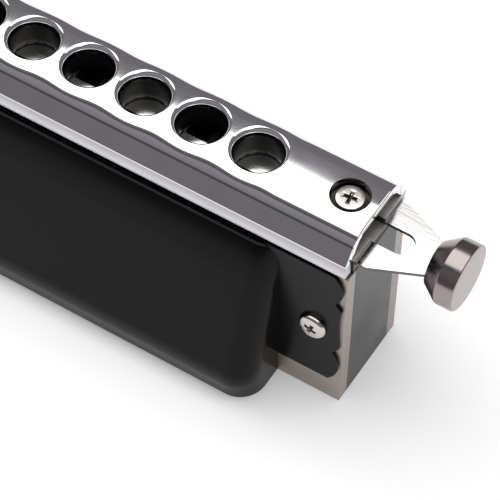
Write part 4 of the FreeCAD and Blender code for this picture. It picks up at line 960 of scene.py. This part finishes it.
def add_bulge(name, inset):
    """The bulge as a solid, its faces inset from the outside of the sheet."""
    ledge = (8.85, cover_front - cover_lip)
    belly = (16.8, 5.05)
    hem = (15.4, 0.0)
    lean = ((hem[0] - belly[0]) / belly[1], -1.0)
    tail_point = (hem[0] + lean[0] * past_back, -past_back)
    root = 3.85
    brow = (10.75, 25.05)
    corners = [(root, ledge[1]), ledge, brow, belly, tail_point, (root, -past_back)]
    if inset:
        moved = []
        count = len(corners)
        for place in range(count):
            before = Vector(corners[place - 1])
            here = Vector(corners[place])
            after = Vector(corners[(place + 1) % count])
            first = (here - before).normalized()
            second = (after - here).normalized()
            first_side = Vector((first.y, -first.x))
            second_side = Vector((second.y, -second.x))
            way = (first_side + second_side).normalized()
            moved.append(here + way * inset / way.dot(first_side))
        corners = [(corner.x, corner.y) for corner in moved]
    half_span = half_length - bulge_from_end - inset
    points = [(-half_span, -out, up) for out, up in corners]
    piece = add_cut_sheet(name, points, (2 * half_span, 0, 0))

    def along(out, up):
        """A test for the long edge through a corner."""
        return lambda a, b: near(a.y, -out) and near(b.y, -out) and near(a.z, up) and near(b.z, up)

    for place, radius in ((2, brow_radius), (3, bend_radius - inset)):
        first = (Vector(corners[place]) - Vector(corners[place - 1])).normalized()
        second = (Vector(corners[place + 1]) - Vector(corners[place])).normalized()
        reach = radius * math.tan(first.angle(second) / 2)
        select_edges(piece, along(*corners[place]))
        bpy.ops.mesh.bevel(offset=reach * mm, segments=12)
    ledge_up = corners[1][1]
    foot_up = corners[4][1]
    root_out = corners[0][0]
    select_edges(piece, lambda a, b: near(abs(a.x), half_span) and near(a.x, b.x)
                 and not (near(a.z, b.z) and (near(a.z, ledge_up) or near(a.z, foot_up)))
                 and not (near(a.y, -root_out) and near(b.y, -root_out)))
    bpy.ops.mesh.bevel(offset=(end_radius - inset) * mm, segments=14)
    fold = fold_radius - inset
    select_edges(piece, lambda a, b: near(a.z, ledge_up) and near(b.z, ledge_up)
                 and a.y < -4.6 and b.y < -4.6 and not near(a.y, -root_out))
    shape = bmesh.from_edit_mesh(piece.data)
    for edge in shape.edges:
        if edge.select and (edge.verts[0].co - edge.verts[1].co).length > 2 * mm:
            if not near(edge.verts[0].co.x / mm, -edge.verts[1].co.x / mm, 1):
                edge.select_set(False)
    bmesh.update_edit_mesh(piece.data)
    bpy.ops.mesh.bevel(offset=fold * math.tan(fold_turn / 2) * mm, segments=6)
    bpy.ops.object.mode_set(mode="OBJECT")
    return piece


def add_flange(name, face, thickness):
    """The flat sheet with its bracket-cut ends."""
    front = cover_front
    foot = 4.9
    middle = 17.3
    tip = half_length - 0.4
    corner_in, corner_up = 1.45, 2.7
    cusp_in, cusp_up = 1.0, 5.7
    lobe_in, lobe_up = 0.3, 4.4

    def arc(first, through, last, count):
        """Points on the arc through three places, without the last one."""
        points = [Vector(first), Vector(through), Vector(last)]
        (ax, ay), (bx, by), (cx, cy) = points
        turn = 2 * (ax * (by - cy) + bx * (cy - ay) + cx * (ay - by))
        square = [p.x * p.x + p.y * p.y for p in points]
        centre = Vector((
            (square[0] * (by - cy) + square[1] * (cy - ay) + square[2] * (ay - by)) / turn,
            (square[0] * (cx - bx) + square[1] * (ax - cx) + square[2] * (bx - ax)) / turn,
        ))
        start = math.atan2(*(points[0] - centre).yx)
        middle_angle = math.atan2(*(points[1] - centre).yx)
        end = math.atan2(*(points[2] - centre).yx)
        sign = 1 if (middle_angle - start) % (2 * math.pi) < (end - start) % (2 * math.pi) else -1
        sweep = (end - start) % (2 * math.pi) if sign > 0 else -((start - end) % (2 * math.pi))
        reach = (points[0] - centre).length
        return [
            (centre.x + reach * math.cos(start + sweep * part / count),
             centre.y + reach * math.sin(start + sweep * part / count))
            for part in range(count)
        ]

    half_outline = []
    for first, through, last, count in (
        ((tip - corner_in, foot), (tip, foot + corner_up), (tip - cusp_in, middle - cusp_up), 16),
        ((tip, middle - lobe_up), (tip - lobe_in, middle), (tip, middle + lobe_up), 12),
        ((tip - cusp_in, middle + cusp_up), (tip, front - corner_up), (tip - corner_in, front), 16),
    ):
        half_outline += arc(first, through, last, count) + [last]
    outline = half_outline + [(-across, up) for across, up in reversed(half_outline)]
    piece = add_cut_sheet(name, [(across, -face, up) for across, up in outline], (0, -thickness, 0))
    bpy.ops.object.mode_set(mode="OBJECT")
    return piece


plate_face = cover_face - sheet_gauge
cover = add_bulge("lower_cover_sheet", 0)
combine(cover, [add_block("trim", (-100, -30, 0), (100, -plate_face, 60))], "INTERSECT")
combine(cover, [add_flange("flange", plate_face, sheet_gauge)], "UNION")
combine(cover, [add_bulge("inside", sheet_gauge)])
combine(cover, [
    add_rod("bolt_hole", screw_hole_radius, (side * bolt_place, -10, bolt_height), 8, "Y", 32)
    for side in (-1, 1)
])
soften(cover, 0.1, 2, 34)
flatten_shading(cover)

cover_paint, tree, shader = new_finish("cover_paint", IOR=1.45, Specular_IOR_Level=0.165)
peel = add_effect(tree, grain, Fine_Scale=1100.0, Broad_Scale=70.0)
give_colour(tree, shader, peel.outputs["Patches"], (0.0020, 0.0020, 0.0022), (0.0034, 0.0034, 0.0036))
give_roughness(tree, shader, peel.outputs["Patches"], 0.22, 0.28)
give_bump(tree, shader, peel.outputs["Height"], 0.006 * mm, 0.35)
cover.data.materials.append(cover_paint)
upper_cover = copy_to(cover, "upper_cover_sheet", Matrix.Scale(-1, 4, (0, 1, 0)))
pick(upper_cover)
bpy.ops.object.mode_set(mode="EDIT")
bpy.ops.mesh.select_all(action="SELECT")
bpy.ops.mesh.flip_normals()
bpy.ops.object.mode_set(mode="OBJECT")
flatten_shading(upper_cover)
for piece, node in ((cover, "lower_cover"), (upper_cover, "upper_cover")):
    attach(piece, "harmonica")
    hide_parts(node)


# Studio. A white table, one wide soft box overhead with its long side along the mouthpiece,
# and a dim grey room round it.
bpy.ops.object.select_all(action="DESELECT")
bpy.ops.mesh.primitive_plane_add(size=12.0, location=(0, 0, 0))
table = added("table")
table_white, tree, shader = new_finish("table_white", Roughness=0.9, Specular_IOR_Level=0.1)
table_cloud = add_effect(tree, grain, Fine_Scale=800.0, Broad_Scale=3.0)
give_colour(tree, shader, table_cloud.outputs["Patches"], (0.94, 0.94, 0.94), (0.97, 0.97, 0.97))
seen = add_node(tree, "ShaderNodeLightPath")
to_camera, to_gloss = seen.outputs["Is Camera Ray"], seen.outputs["Is Glossy Ray"]
table_lift = 0.19
glow = add_math(tree, "MULTIPLY", add_math(tree, "MAXIMUM", to_camera, to_gloss), table_lift)
shader.inputs["Emission Color"].default_value = (1, 1, 1, 1)
tree.links.new(glow, shader.inputs["Emission Strength"])
table.data.materials.append(table_white)

box_height = 1.0
box_low, box_high = -0.42, 0.668
softbox = bpy.data.lights.new("softbox", "AREA")
softbox.shape = "RECTANGLE"
softbox.size = 2.4
softbox.size_y = box_high - box_low
softbox.energy = 17.0
softbox_place = bpy.data.objects.new("softbox", softbox)
softbox_place.location = (-0.35, (box_low + box_high) / 2, box_height)
bpy.context.scene.collection.objects.link(softbox_place)

room = bpy.data.worlds.new("room")
room.use_nodes = True
tree = room.node_tree
way = add_node(tree, "ShaderNodeTexCoord")
way_axes = add_node(tree, "ShaderNodeSeparateXYZ")
tree.links.new(way.outputs["Generated"], way_axes.inputs["Vector"])
front = add_math(tree, "MULTIPLY", way_axes.outputs["Y"], -1.0)
climb = add_math(tree, "DIVIDE", add_math(tree, "ARCTAN2", way_axes.outputs["Z"], front), math.pi)
room_walls = add_node(tree, "ShaderNodeValToRGB")
# grey of the room by the angle up from the front, in degrees
bands = (
    (0, 0.08), (9, 0.16), (20, 0.20), (50, 0.27), (54, 0.10), (60, 0.09), (62, 0.20), (90, 0.18),
    (180, 0.165),
)
for angle, grey in bands[1:-1]:
    room_walls.color_ramp.elements.new(angle / 180)
for stop, (angle, grey) in zip(room_walls.color_ramp.elements, bands):
    stop.color = (grey, grey * 0.96, grey * 1.02, 1)
tree.links.new(climb, room_walls.inputs["Fac"])
tree.links.new(room_walls.outputs["Color"], tree.nodes["Background"].inputs["Color"])
tree.nodes["Background"].inputs["Strength"].default_value = 1.0
bpy.context.scene.world = room
bpy.context.scene.view_settings.view_transform = "Standard"

# Camera. Above and in front of the button's end, with the long lens and the slight roll that
# fit the photograph.
azimuth = math.radians(30.45)
elevation = math.radians(53.41)
roll = math.radians(1.76)
lens_place = (0.1697, -0.20413, 0.33153)
right = Vector((math.cos(azimuth), math.sin(azimuth), 0))
up = Vector((-math.sin(azimuth) * math.sin(elevation), math.cos(azimuth) * math.sin(elevation),
             math.cos(elevation)))
back = Vector((math.sin(azimuth) * math.cos(elevation), -math.cos(azimuth) * math.cos(elevation),
               math.sin(elevation)))
rolled_right = right * math.cos(roll) + up * math.sin(roll)
rolled_up = up * math.cos(roll) - right * math.sin(roll)
camera = bpy.data.cameras.new("camera")
camera.sensor_width = 36.0
camera.lens = 201.6
camera_place = bpy.data.objects.new("camera", camera)
camera_place.matrix_world = Matrix.Translation(lens_place) @ Matrix(
    (rolled_right, rolled_up, back)
).transposed().to_4x4()
bpy.context.scene.collection.objects.link(camera_place)
bpy.context.scene.camera = camera_place

bpy.context.view_layer.update()
